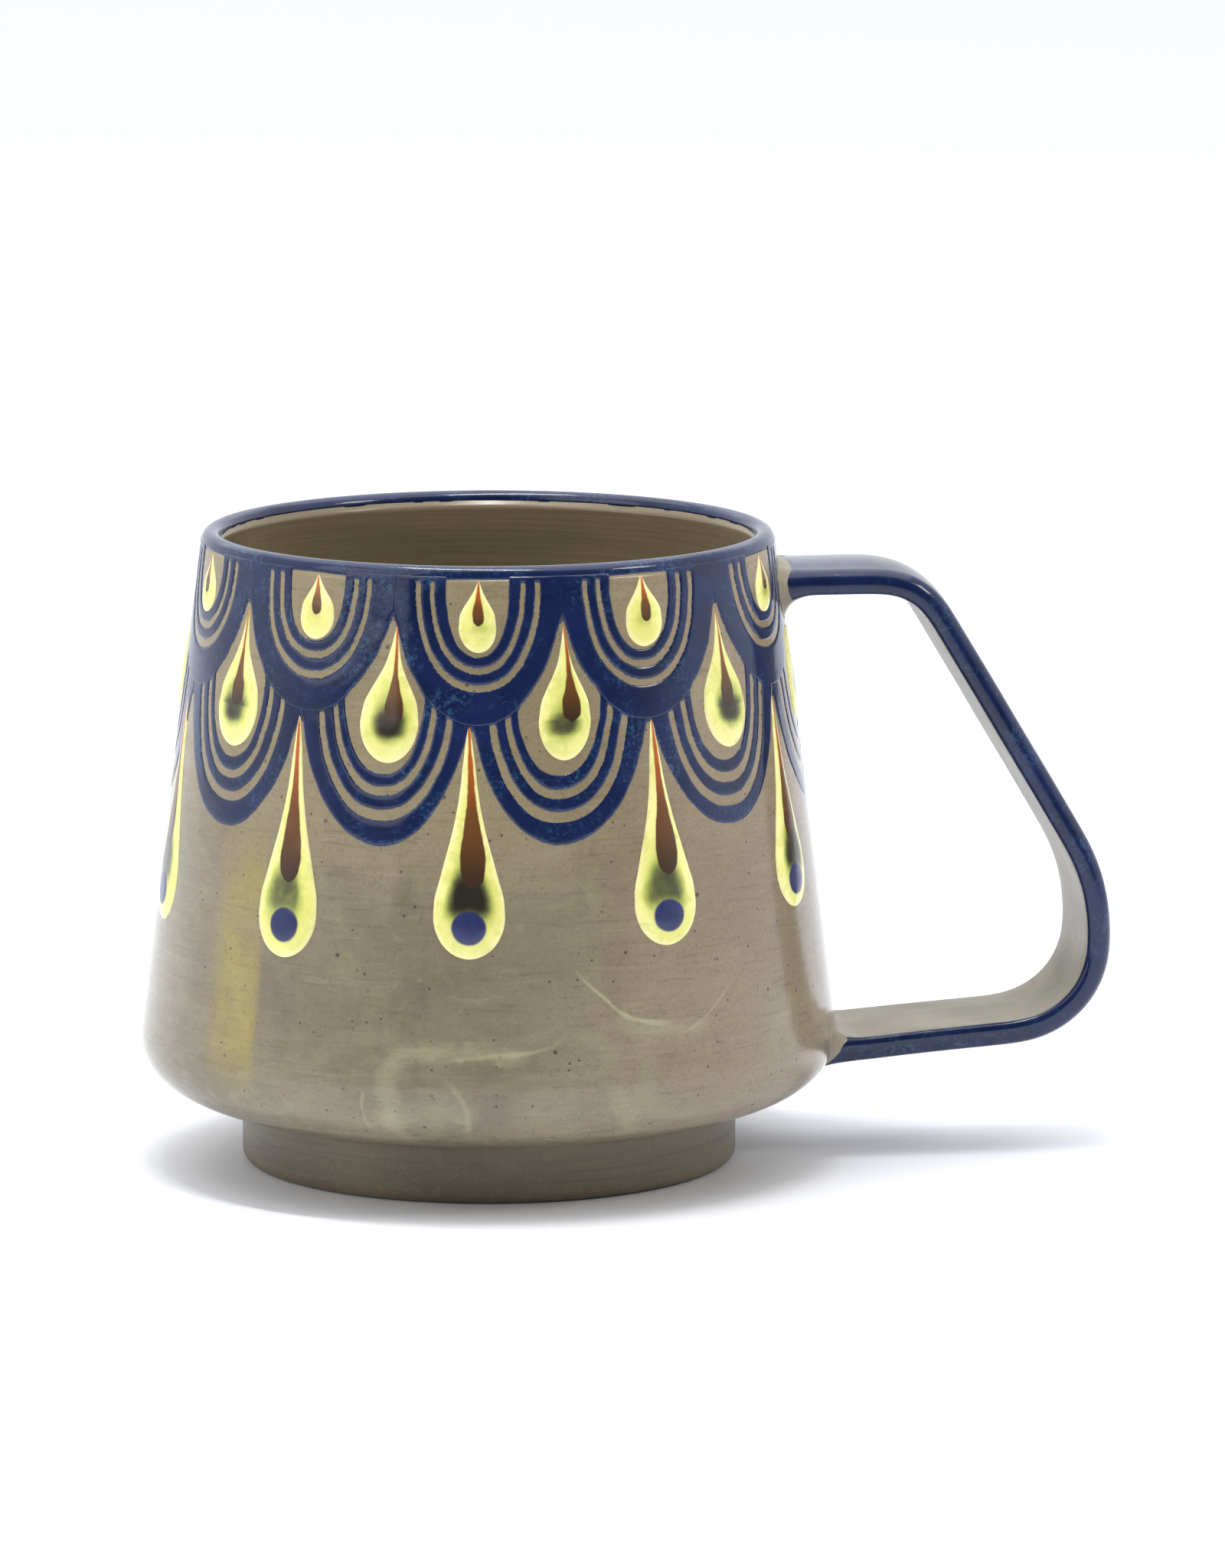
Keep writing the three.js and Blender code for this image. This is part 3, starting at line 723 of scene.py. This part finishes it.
def feathers_of(row, name, curves, top):
    """A row's feathers, each reaching half way to its neighbours."""
    order = [row[n] + math.degrees(BY_HAND[name][n - 1][0] / MEAN_RADIUS) for n in row]
    result = []
    for k, direction in enumerate(order):
        before = (direction - order[k - 1]) % 360 / 2
        after = (order[(k + 1) % len(order)] - direction) % 360 / 2
        result.append(Feather(direction, before, after, *BY_HAND[name][k][1:], curves, top))
    return result


UPPER_FEATHERS = feathers_of(UPPER, "upper", UPPER_CURVES, UPPER_TOP)
LOWER_FEATHERS = feathers_of(LOWER, "lower", LOWER_CURVES, LOWER_TOP)


def run_together(fields, room):
    """The union of painted areas, whose glaze runs together across narrow gaps."""
    ordered = np.sort(np.array(fields), axis=0)
    first, second = ordered[-1], ordered[-2]
    near = np.maximum(room - (first - second), 0) / room
    return first + near ** 2 * room / 4


def cobalt_of(feather, angle, z, line_room):
    """How far points are inside one feather's cobalt. Its lines may still run for line_room."""
    x = feather.across(angle, z)
    d = [feather.outside_of(k, x, z) for k in range(6)]
    lines = [np.minimum(np.minimum(d[a], -d[a + 1]), line_room) for a in (1, 3)]
    inside = np.minimum(-d[5], d[0])
    return np.minimum(inside, -np.maximum(lines[0], lines[1]))


def outside_uppers(angle, z):
    """How far points are outside every upper feather."""
    return np.min([f.outside_of(5, f.across(angle, z), z) for f in UPPER_FEATHERS], axis=0)


def upper_cover(angle, z):
    """How far points on the wall are inside the upper row's cobalt, in millimetres."""
    room = UPPER_LINE_TOP - z
    return run_together([cobalt_of(f, angle, z, room) for f in UPPER_FEATHERS], GLAZE_RUN)


def cobalt_cover(angle, z):
    """How far points on the wall are inside the whole cobalt pattern, in millimetres."""
    beyond = outside_uppers(angle, z)
    lower = run_together([cobalt_of(f, angle, z, beyond - 0.1) for f in LOWER_FEATHERS], GLAZE_RUN)
    rows = run_together([upper_cover(angle, z), np.minimum(lower, beyond + TUCK)], 0.9)
    return run_together([rows, z - RIM_BAND_OUTSIDE], 0.6)


def brushed(angle, z):
    """The same places moved by the small wander of the painter's hand."""
    east, north = 5.5 * np.cos(angle), 5.5 * np.sin(angle)
    drift = 0.24 * ripple(east, north, z / 7, 60) + 0.1 * ripple(3 * east, 3 * north, z / 2, 61)
    lift = 0.16 * ripple(east, north, z / 7, 70) + 0.09 * ripple(3 * east, 3 * north, z / 2, 71)
    fade = 1 - smooth(91.5, 93.5, z)
    return angle + fade * drift / wall_radius(z), z + fade * lift


def behind_joint(points, inset):
    """Which points lie behind the handle's upper joint, inset from its outline."""
    low, high = node_box("handle_upper_joint")
    x, y, z = np.moveaxis(points, -1, 0)
    return (np.abs(y) < high[1] - inset) & (z > low[2] + inset) & (z < high[2] - inset) & (x > 0)


# Where the grid's lines run across a feather: close together at each of its six curves.
SHARES = np.append((np.arange(5)[:, None] + (0.0, 0.09, 0.3, 0.7, 0.91)).ravel(), 5.0)


def feather_grid(feather):
    """Directions and heights of a grid over a feather, which follows its curves.

    It has one column inside the first curve, and three past the last, up to the neighbour's.
    """
    past = np.array([0.0] * (len(SHARES) + 1) + [0.12, 0.45, 1.0])
    straight = np.linspace(0, 1, 4)
    quarter = np.linspace(0, 1, 78)[1:] * math.pi / 2
    angles, heights = [], []
    for side, sign in ((0, -1.0), (1, 1.0)):
        curves = np.array(feather.sides[side])
        bottom, width, shoulder, power = [
            np.pad(np.interp(SHARES, range(6), values), (1, 3), "edge")
            for values in (*curves.T, POWERS)]
        bottom[0] += 0.14
        width[0] -= 0.14
        rows_x, rows_z = [], []
        for t in straight:
            rows_x.append(width + 0.12 * past)
            rows_z.append(feather.top + (shoulder - feather.top) * t)
        for a in quarter:
            tip = 2 / power[-1]
            edge_x = width[-1] * math.cos(a) ** tip
            edge_z = shoulder[-1] - (shoulder[-1] - bottom[-1]) * math.sin(a) ** tip
            room = feather.reach[side] * float(wall_radius(edge_z)) + 0.08 - edge_x
            reach = past * min(max(room, 0.12), 1.3)
            rows_x.append((width + reach) * math.cos(a) ** (2 / power))
            rows_z.append(shoulder - (shoulder - bottom + reach) * math.sin(a) ** (2 / power))
        x = sign * np.array(rows_x)
        z = np.array(rows_z)
        if side:
            x, z = x[-2::-1], z[-2::-1]
        angles.append(math.radians(feather.direction) + x / wall_radius(z))
        heights.append(z)
    return np.concatenate(angles), np.concatenate(heights)


def make_feather(row, number, feather, thickness):
    """A sheet of cobalt over one feather, with real gaps where its lines and field are clay."""
    angle, z = feather_grid(feather)
    cover = own = cobalt_cover(angle, z)
    if row == "upper":
        own = np.minimum(cover, upper_cover(angle, z) + 0.25)
    lift = coat_height(own, thickness)
    moved = brushed(angle, z)
    top, under = on_wall(*moved, lift), on_wall(*moved, SHEET_ROOT)
    hidden = behind_joint(top, 0.8)
    if row == "lower":
        hidden |= outside_uppers(angle, z) < -TUCK
    keep = cells_touching((lift > -0.07) & ~hidden) & ~(hidden[:-1, :-1] & hidden[1:, 1:])
    outward = np.s_[:, ::-1]
    sheet = slab(top[outward], under[outward], {"cover": cover[outward]}, keep[outward])
    name, node = f"{row}_feather_{number:02d}", f"feather_{row}_{number:02d}"
    new_piece(name, sheet, COBALT, node)


for row, feathers, thinnest in (("upper", UPPER_FEATHERS, 0.13), ("lower", LOWER_FEATHERS, 0.10)):
    for number, feather in enumerate(feathers, 1):
        make_feather(row, number, feather, thinnest + 0.01 * (number % 2))


# ---------- drops ----------
# Heights are above the drop's bottom. outline and stroke are [(height, half width), ...]. shade is
# [(height, darkness), ...] and fades by shade_edge towards the outline. dot is (height, radius).
DROPS = {
    "small": {
        "bottom": 82.4, "length": 10.6, "widest": 3.7, "half": 2.95, "rise": 0.4, "rows": 22,
        "outline": [(3.7, 2.95), (5.5, 2.76), (6.7, 2.2), (7.8, 1.5), (8.9, 0.85), (9.9, 0.4),
                    (10.6, 0.12)],
        "stroke": [(3.9, 0), (4.15, 0.45), (4.8, 0.8), (5.8, 0.85), (7.6, 0.5), (9.2, 0.25),
                   (10.6, 0.12)],
        "shade": [(1.6, 0), (2.6, 0.3), (4, 0.85), (5.2, 0.5), (6.5, 0)],
        "shade_edge": (0.9, 2.8),
    },
    "medium": {
        "bottom": 66.3, "length": 20.2, "widest": 6.0, "half": 4.4, "rise": 0.5, "rows": 34,
        "outline": [(6, 4.4), (8.6, 4), (10.6, 3.15), (12.6, 2.1), (14.7, 1.2), (17.3, 0.58),
                    (20.2, 0.13)],
        "stroke": [(5.9, 0), (6.2, 0.75), (7, 1.3), (8.6, 1.4), (11, 0.8), (13.5, 0.4),
                   (20.2, 0.12)],
        "shade": [(0.9, 0), (2.2, 0.25), (3.5, 0.55), (4.7, 1), (6.4, 0.98), (8, 0.55),
                  (10, 0.28), (12, 0)],
        "shade_edge": (0.8, 3.4),
    },
    "long": {
        "bottom": 38.2, "length": 34.3, "widest": 6.2, "half": 5.3, "rise": 0.6, "rows": 52,
        "outline": [(6.2, 5.3), (8.5, 5.15), (11.4, 4.4), (14.2, 3.65), (17.1, 2.85), (20, 2.15),
                    (22.9, 1.6), (25.8, 1.2), (28.8, 0.88), (31.8, 0.5), (34.3, 0.15)],
        "stroke": [(10.5, 0), (11, 0.9), (12.2, 1.65), (14.4, 1.85), (17.5, 1.5), (20.5, 1),
                   (24, 0.6), (28, 0.4), (34.3, 0.13)],
        "shade": [(3.2, 0), (5.2, 0.25), (6.6, 0.6), (7.9, 0.95), (9.5, 1), (11.7, 0.9),
                  (13.5, 0.5), (16, 0.2), (18.5, 0)],
        "shade_edge": (0.7, 3.5), "dot": (4.6, 2.55),
    },
}


def make_drop(kind, number, direction):
    """A raised tear of slip. Its mesh carries how far each point is inside its painted parts."""
    spec = DROPS[kind]
    luck = random.Random(f"{kind}{number}")
    aside, up, slant, bulb, width, darkness = BY_HAND[kind][number - 1]
    length, widest, half_most = spec["length"], spec["widest"], spec["half"]
    neck = np.linspace(length, widest, spec["rows"])
    turn = np.radians(np.linspace(0, 86, 24))[1:]
    height = np.concatenate([neck, widest * (1 - np.sin(turn))])
    half = np.concatenate([through(spec["outline"], neck), half_most * np.cos(turn)]) * width
    s = np.sin(np.radians(np.linspace(-90, 90, 27)))
    x = half[:, None] * s[None, :]
    h = np.repeat(height[:, None], len(s), axis=1)
    rising = h / length
    # the dome
    end_round = np.sqrt(np.maximum(1 - np.sin(turn) ** 4, 0))
    full = (half / half_most) ** 0.6 * np.concatenate([np.ones(len(neck)), end_round])
    dome = np.sqrt(np.maximum(1 - np.abs(s) ** 3.2, 0))
    lift = BURIED + (spec["rise"] * full[:, None] - BURIED) * dome[None, :]
    # what is painted on it
    lean = luck.uniform(-0.25, 0.25)
    stroke_end = luck.uniform(-0.3, 0.3)
    level = np.sqrt((np.maximum(widest - h, 0) / widest) ** 2 + (x / half_most) ** 2)
    edge = np.where(h > widest, half[:, None] - np.abs(x), (1 - level) * half_most)
    stroke = through(spec["stroke"], h - stroke_end * (h < widest * 2))
    stroke -= np.abs(x - bulb * (1 - rising ** 2))
    stroke -= 1.2 * np.maximum(spec["stroke"][0][0] + stroke_end - h, 0)
    leaning = edge - 3.2 * lean * x / half_most
    shade = darkness * through(spec["shade"], h) * smooth(*spec["shade_edge"], leaning)
    dot = np.full_like(x, -5.0)
    if "dot" in spec:
        dot_height, dot_radius = spec["dot"]
        dot_height += luck.uniform(-0.15, 0.15)
        dot = dot_radius - np.hypot(x - 0.4 * lean, h - dot_height)
        lift = lift + 0.08 * smooth(-0.1, 0.5, dot)
    fields = {"edge": edge, "stroke": stroke, "shade": shade, "dot": dot, "along": rising}
    # where it lies on the wall
    z = spec["bottom"] + h + up * (1 - rising)
    axis = aside + slant * rising ** 1.3 + lean * np.sin(rising * math.pi)
    angle = math.radians(direction) + (axis + x) / wall_radius(z)
    top = on_wall(angle, z, lift)
    hidden = behind_joint(top, 0.6)
    under = on_wall(angle, z, COAT_ROOT)
    drop = slab(top, under, fields, ~(hidden[:-1, :-1] | hidden[1:, 1:]))
    name, node = f"{kind}_drop_{number:02d}", f"drop_{kind}_{number:02d}"
    new_piece(name, drop, LIME, node)


for kind, row in (("small", UPPER), ("medium", LOWER), ("long", LONG)):
    for number, direction in row.items():
        if f"drop_{kind}_{number:02d}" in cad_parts:
            make_drop(kind, number, direction)


# ---------- handle ----------
# The strap's centre line as corners: (radius, height, how far each is rounded).
HANDLE_CORNERS = [(48.6, 86.7, 0), (63.6, 86.7, 9.5), (90.9, 40.9, 28), (91.0, 19.7, 13),
                  (56.4, 16.9, 0)]
STRAP_WIDTH = (9.5, 11.5)  # half width at the top and bottom
STRAP_OUTER = 2.5  # how far its faces lie from the centre line
STRAP_INNER = 1.65
UPPER_FLARE = {"side": 3.0, "outer": 1.2, "inner": 4.2}
LOWER_FLARE = {"side": 3.2, "outer": 1.6, "inner": 3.0}


def unit(vectors):
    return vectors / np.linalg.norm(vectors, axis=-1, keepdims=True)


def lengths_along(path):
    """How far each point of a path lies from its start."""
    return np.concatenate([[0], np.cumsum(np.linalg.norm(np.diff(path, axis=0), axis=1))])


def strap_path():
    """Points along the strap's centre line, 0.9 mm apart, its bends eased in and out."""
    corners = [np.array(c[:2], float) for c in HANDLE_CORNERS]
    points = [corners[0]]
    for k in range(1, len(corners) - 1):
        into, out = unit(corners[k] - corners[k - 1]), unit(corners[k + 1] - corners[k])
        turn = math.acos(float(into @ out))
        radius = HANDLE_CORNERS[k][2]
        start = corners[k] - into * radius * math.tan(turn / 2)
        inward = np.array([into[1], -into[0]])
        for a in np.linspace(0, turn, max(4, int(radius * turn))):
            bend = into * math.sin(a) + inward * (1 - math.cos(a))
            points.append(start + radius * bend)
    path = np.array([*points, corners[-1]])
    along = lengths_along(path)
    even = np.linspace(0, along[-1], int(along[-1] / 0.9))
    path = np.stack([np.interp(even, along, path[:, c]) for c in (0, 1)], axis=-1)
    for _ in range(8):
        path[1:-1] = (path[:-2] + 2 * path[1:-1] + path[2:]) / 4
    return path


def strap_section(half_width):
    """The strap's outline as (sideways, outward), from the middle of its inner face round."""
    corner_outer, corner_inner, crown = 2.1, 1.1, 0.45
    flat = half_width - corner_outer
    side = [(half_width - corner_inner * (1 - math.sin(a)),
             corner_inner * (1 - math.cos(a)) - STRAP_INNER)
            for a in np.linspace(0, math.pi / 2, 7)]
    side += [(flat + corner_outer * math.cos(a),
              STRAP_OUTER - crown - corner_outer * (1 - math.sin(a)))
             for a in np.linspace(0, math.pi / 2, 8)]
    points = [(-half_width * s, -STRAP_INNER) for s in (0.0, 0.3, 0.6)]
    points += [(-x, z) for x, z in side]
    points += [(flat * s, STRAP_OUTER - crown * s ** 2) for s in np.linspace(-1, 1, 13)[1:-1]]
    points += side[::-1]
    points += [(half_width * s, -STRAP_INNER) for s in (0.6, 0.3)]
    return np.array(points)


def section_normals(section):
    """Unit vectors out of a section's outline."""
    ahead = np.roll(section, -1, axis=0) - np.roll(section, 1, axis=0)
    normal = unit(np.stack([ahead[:, 1], -ahead[:, 0]], axis=-1))
    inward = ((section - section.mean(axis=0)) * normal).sum() < 0
    return -normal if inward else normal


SHOULDER = shoulder(60)


def outer_radius(z):
    """The cup's outer radius at a height, on the shoulder or the wall."""
    on_shoulder = np.interp(z, SHOULDER[:, 1], SHOULDER[:, 0])
    return np.where(np.asarray(z) < BELLY_HEIGHT, on_shoulder, wall_radius(z))


def joint_rings(ring, normal, towards, outdir, flare):
    """Rings from the strap's end to its flared footprint on the wall. The first is the strap's."""
    sideways, outward = normal.T
    spread = flare["side"] * sideways ** 2
    spread += np.where(outward > 0, flare["outer"], flare["inner"]) * outward ** 2
    spread *= 1 + 0.18 * ripple(sideways * 2, outward * 2, flare["inner"], 90)
    shift = np.stack([0 * spread, sideways * spread, outdir[1] * outward * spread], axis=-1)
    _, y, z = (ring + shift).T
    z = z + towards[1] * 5.0
    foot = np.stack([np.sqrt((outer_radius(z) - 0.12) ** 2 - y ** 2), y, z], axis=-1)
    heading = np.array([towards[0], 0.0, towards[1]])
    first = ring + heading * (ring - foot)[:, :1] * 0.55
    second = foot - 0.8 * shift + (0.15, 0.0, 0.0)
    return bezier([ring, first, second, foot], 18)


def tube(grid):
    """A closed solid through rings of points."""
    rings, count = grid.shape[:2]
    faces = []
    for k in range(rings - 1):
        for m in range(count):
            n = (m + 1) % count
            faces.append((k * count + m, k * count + n, (k + 1) * count + n, (k + 1) * count + m))
    faces.append(tuple(reversed(range(count))))
    faces.append(tuple((rings - 1) * count + m for m in range(count)))
    return grid.reshape(-1, 3), faces


def sharpen_ends(piece):
    """Keeps a tube's two flat ends from bending the shading of its sides."""
    mesh = piece.data
    rims = set()
    for face in list(mesh.polygons)[-2:]:
        face.use_smooth = False
        rims.update(face.edge_keys)
    for edge in mesh.edges:
        edge.use_edge_sharp = edge.key in rims


def make_handle():
    """The strap and its two joints, as three solids through one grid of rings."""
    path = strap_path()
    heading = unit(np.gradient(path, axis=0))
    outdir = np.stack([-heading[:, 1], heading[:, 0]], axis=-1)
    strap = []
    for share, point, out_x, out_z in zip(np.linspace(0, 1, len(path)), path, *outdir.T):
        half_width = STRAP_WIDTH[0] + (STRAP_WIDTH[1] - STRAP_WIDTH[0]) * share
        half_width += 0.15 * float(ripple(share * 6, 0, 0, 5))
        sideways, out = strap_section(half_width).T
        out = out + 0.08 * float(ripple(share * 9, 3, 0, 6))
        strap.append(np.stack([point[0] + out_x * out, sideways, point[1] + out_z * out], axis=-1))
    normal = section_normals(strap_section(STRAP_WIDTH[0]))
    upper = joint_rings(strap[0], normal, -heading[0], outdir[0], UPPER_FLARE)
    lower = joint_rings(strap[-1], normal, heading[-1], outdir[-1], LOWER_FLARE)
    grid = np.concatenate([upper[:0:-1], strap, lower[1:]])
    joint = len(upper)
    for name, part, node in (
        ("upper_joint", grid[:joint], "handle_upper_joint"),
        ("strap", grid[joint - 1:-joint + 1], "handle_strap"),
        ("lower_joint", grid[-joint:], "handle_lower_joint"),
    ):
        sharpen_ends(new_piece(name, tube(part), HANDLE_CLAY, node))
    # which way the skin faces
    around = np.roll(grid, -1, axis=1) - np.roll(grid, 1, axis=1)
    facing = np.cross(around, np.gradient(grid, axis=0))
    facing /= np.linalg.norm(facing, axis=2)[:, :, None] + 1e-9
    centre = grid.mean(axis=1)[:, None, :]
    if ((grid - centre) * facing)[joint:-joint].sum() < 0:
        facing = -facing
    make_strap_coat(grid, facing)


def make_strap_coat(grid, facing):
    """Cobalt over the strap's outer face and both edges, starting a little out from the wall."""
    along = lengths_along(grid.mean(axis=1))
    columns = slice(3, grid.shape[1] - 2)
    part = grid[:, columns]
    x, y, z = np.moveaxis(part, -1, 0)
    steps = np.linalg.norm(np.diff(part, axis=1), axis=2)
    across = np.concatenate([np.zeros((len(grid), 1)), np.cumsum(steps, axis=1)], axis=1)
    width = across[:, -1:]
    edge = np.minimum(across, width - across) - 0.45
    underneath = 1 - np.abs(np.clip((across / width - 0.5) * 2, -1, 1)) ** 3
    start = along[:, None] - 2.3 - 0.4 * ripple(y / 4, z / 4, 0, 21)
    end = along[-1] - along[:, None] - 3.4 - 0.4 * ripple(y / 4, x / 4, 0, 22) + 2.4 * underneath
    wander = 0.16 * ripple(x / 3, y / 8, z / 3, 23)
    cover = np.minimum(np.minimum(start, end), edge + wander)
    top = part + facing[:, columns] * coat_height(cover, 0.08)[:, :, None]
    under = part - facing[:, columns] * 0.35
    coat = slab(top, under, {"cover": cover}, cells_touching(cover > -0.2))
    new_piece("strap_coat", coat, COBALT, "handle_coat")


make_handle()


# ---------- floor, light and camera ----------
CAMERA_TURN = math.radians(-8)  # from square to the handle
CAMERA_PITCH = math.radians(9.5)
CAMERA_DISTANCE = 1.3735
CAMERA_SHIFT = (0.01854, 0.0087)  # to the right and up, from the middle of the cup
WALL_LIGHT = 1.06
OPEN_LIGHT = 0.12  # from the camera's side


def make_floor():
    mesh = bpy.data.meshes.new("floor")
    size, level = 6.0, -0.00005
    corners = [(x * size, y * size, level) for x, y in ((-1, -1), (1, -1), (1, 1), (-1, 1))]
    mesh.from_pydata(corners, [], [(0, 1, 2, 3)])
    floor = bpy.data.objects.new("floor", mesh)
    bpy.context.collection.objects.link(floor)
    look = Look("white_floor", 0.6)
    look.shader.inputs["Base Color"].default_value = (0.875, 0.895, 0.958, 1)
    mesh.materials.append(look.material)


def make_world():
    """White all round, as in a light tent, but dim on the open side, where the camera stands."""
    world = bpy.data.worlds.new("studio")
    world.use_nodes = True
    tree = world.node_tree
    camera_side = (math.sin(CAMERA_TURN), -math.cos(CAMERA_TURN), 0.0)
    direction = add_node(tree, "TexCoord").outputs["Generated"]
    facing = add_node(tree, "VectorMath", (0, direction), (1, camera_side), operation="DOT_PRODUCT")
    dim = add_node(tree, "MapRange", Value=facing.outputs["Value"], From_Min=0.0, From_Max=0.75,
                   To_Min=WALL_LIGHT, To_Max=OPEN_LIGHT, interpolation_type="SMOOTHSTEP")
    background = tree.nodes["Background"]
    background.inputs["Color"].default_value = (0.965, 0.98, 1, 1)
    tree.links.new(dim.outputs["Result"], background.inputs["Strength"])
    bpy.context.scene.world = world


# (name, place, aimed at, size, power, colour), in metres and watts.
LAMPS = [
    ("top", (0.0, 0.15, 1.2), (0, 0, 0), (1.6, 1.6), 9, (1, 1, 1)),
    ("top_strip", (-0.05, -0.05, 0.9), (0, 0, 0.09), (0.5, 0.05), 3.4, (1, 1, 1)),
    ("left_window", (-1.08, -0.66, 0.7), (0, 0, 0.05), (1.1, 1.1), 5.6, (1.0, 0.97, 0.91)),
    ("right_window", (1.0, -0.55, 0.95), (0.04, 0, 0.06), (0.32, 0.32), 3.4, (1.0, 0.94, 0.86)),
    ("back_wash", (0.0, 2.8, 1.6), (0, 2.8, 0), (4.0, 2.4), 15, (1, 1, 1)),
]


def add_light(name, place, aim, size, power, colour):
    light = bpy.data.lights.new(name, "AREA")
    light.shape = "RECTANGLE"
    light.size, light.size_y = size
    light.energy = power
    light.color = colour
    lamp = bpy.data.objects.new(name, light)
    lamp.location = place
    lamp.rotation_euler = (Vector(aim) - Vector(place)).to_track_quat("-Z", "Y").to_euler()
    bpy.context.collection.objects.link(lamp)


def make_camera():
    """A long lens from a little above, with the handle on the right."""
    across, ahead = math.cos(CAMERA_TURN), math.sin(CAMERA_TURN)
    level = math.cos(CAMERA_PITCH)
    right = Vector((across, ahead, 0))
    back = Vector((ahead * level, -across * level, math.sin(CAMERA_PITCH)))
    up = back.cross(right)
    middle = Vector((0, 0, HEIGHT / 2 * MM))
    place = middle + right * CAMERA_SHIFT[0] + up * CAMERA_SHIFT[1] + back * CAMERA_DISTANCE
    camera = bpy.data.objects.new("camera", bpy.data.cameras.new("camera"))
    camera.data.lens = 210.9
    camera.data.sensor_width = 36
    camera.data.dof.use_dof = False
    camera.data.clip_end = 20
    turned_to = Matrix((right, up, back)).transposed().to_4x4()
    camera.matrix_world = Matrix.Translation(place) @ turned_to
    bpy.context.collection.objects.link(camera)
    bpy.context.scene.camera = camera


make_floor()
make_world()
for lamp in LAMPS:
    add_light(*lamp)
make_camera()
bpy.context.scene.view_settings.view_transform = "Standard"
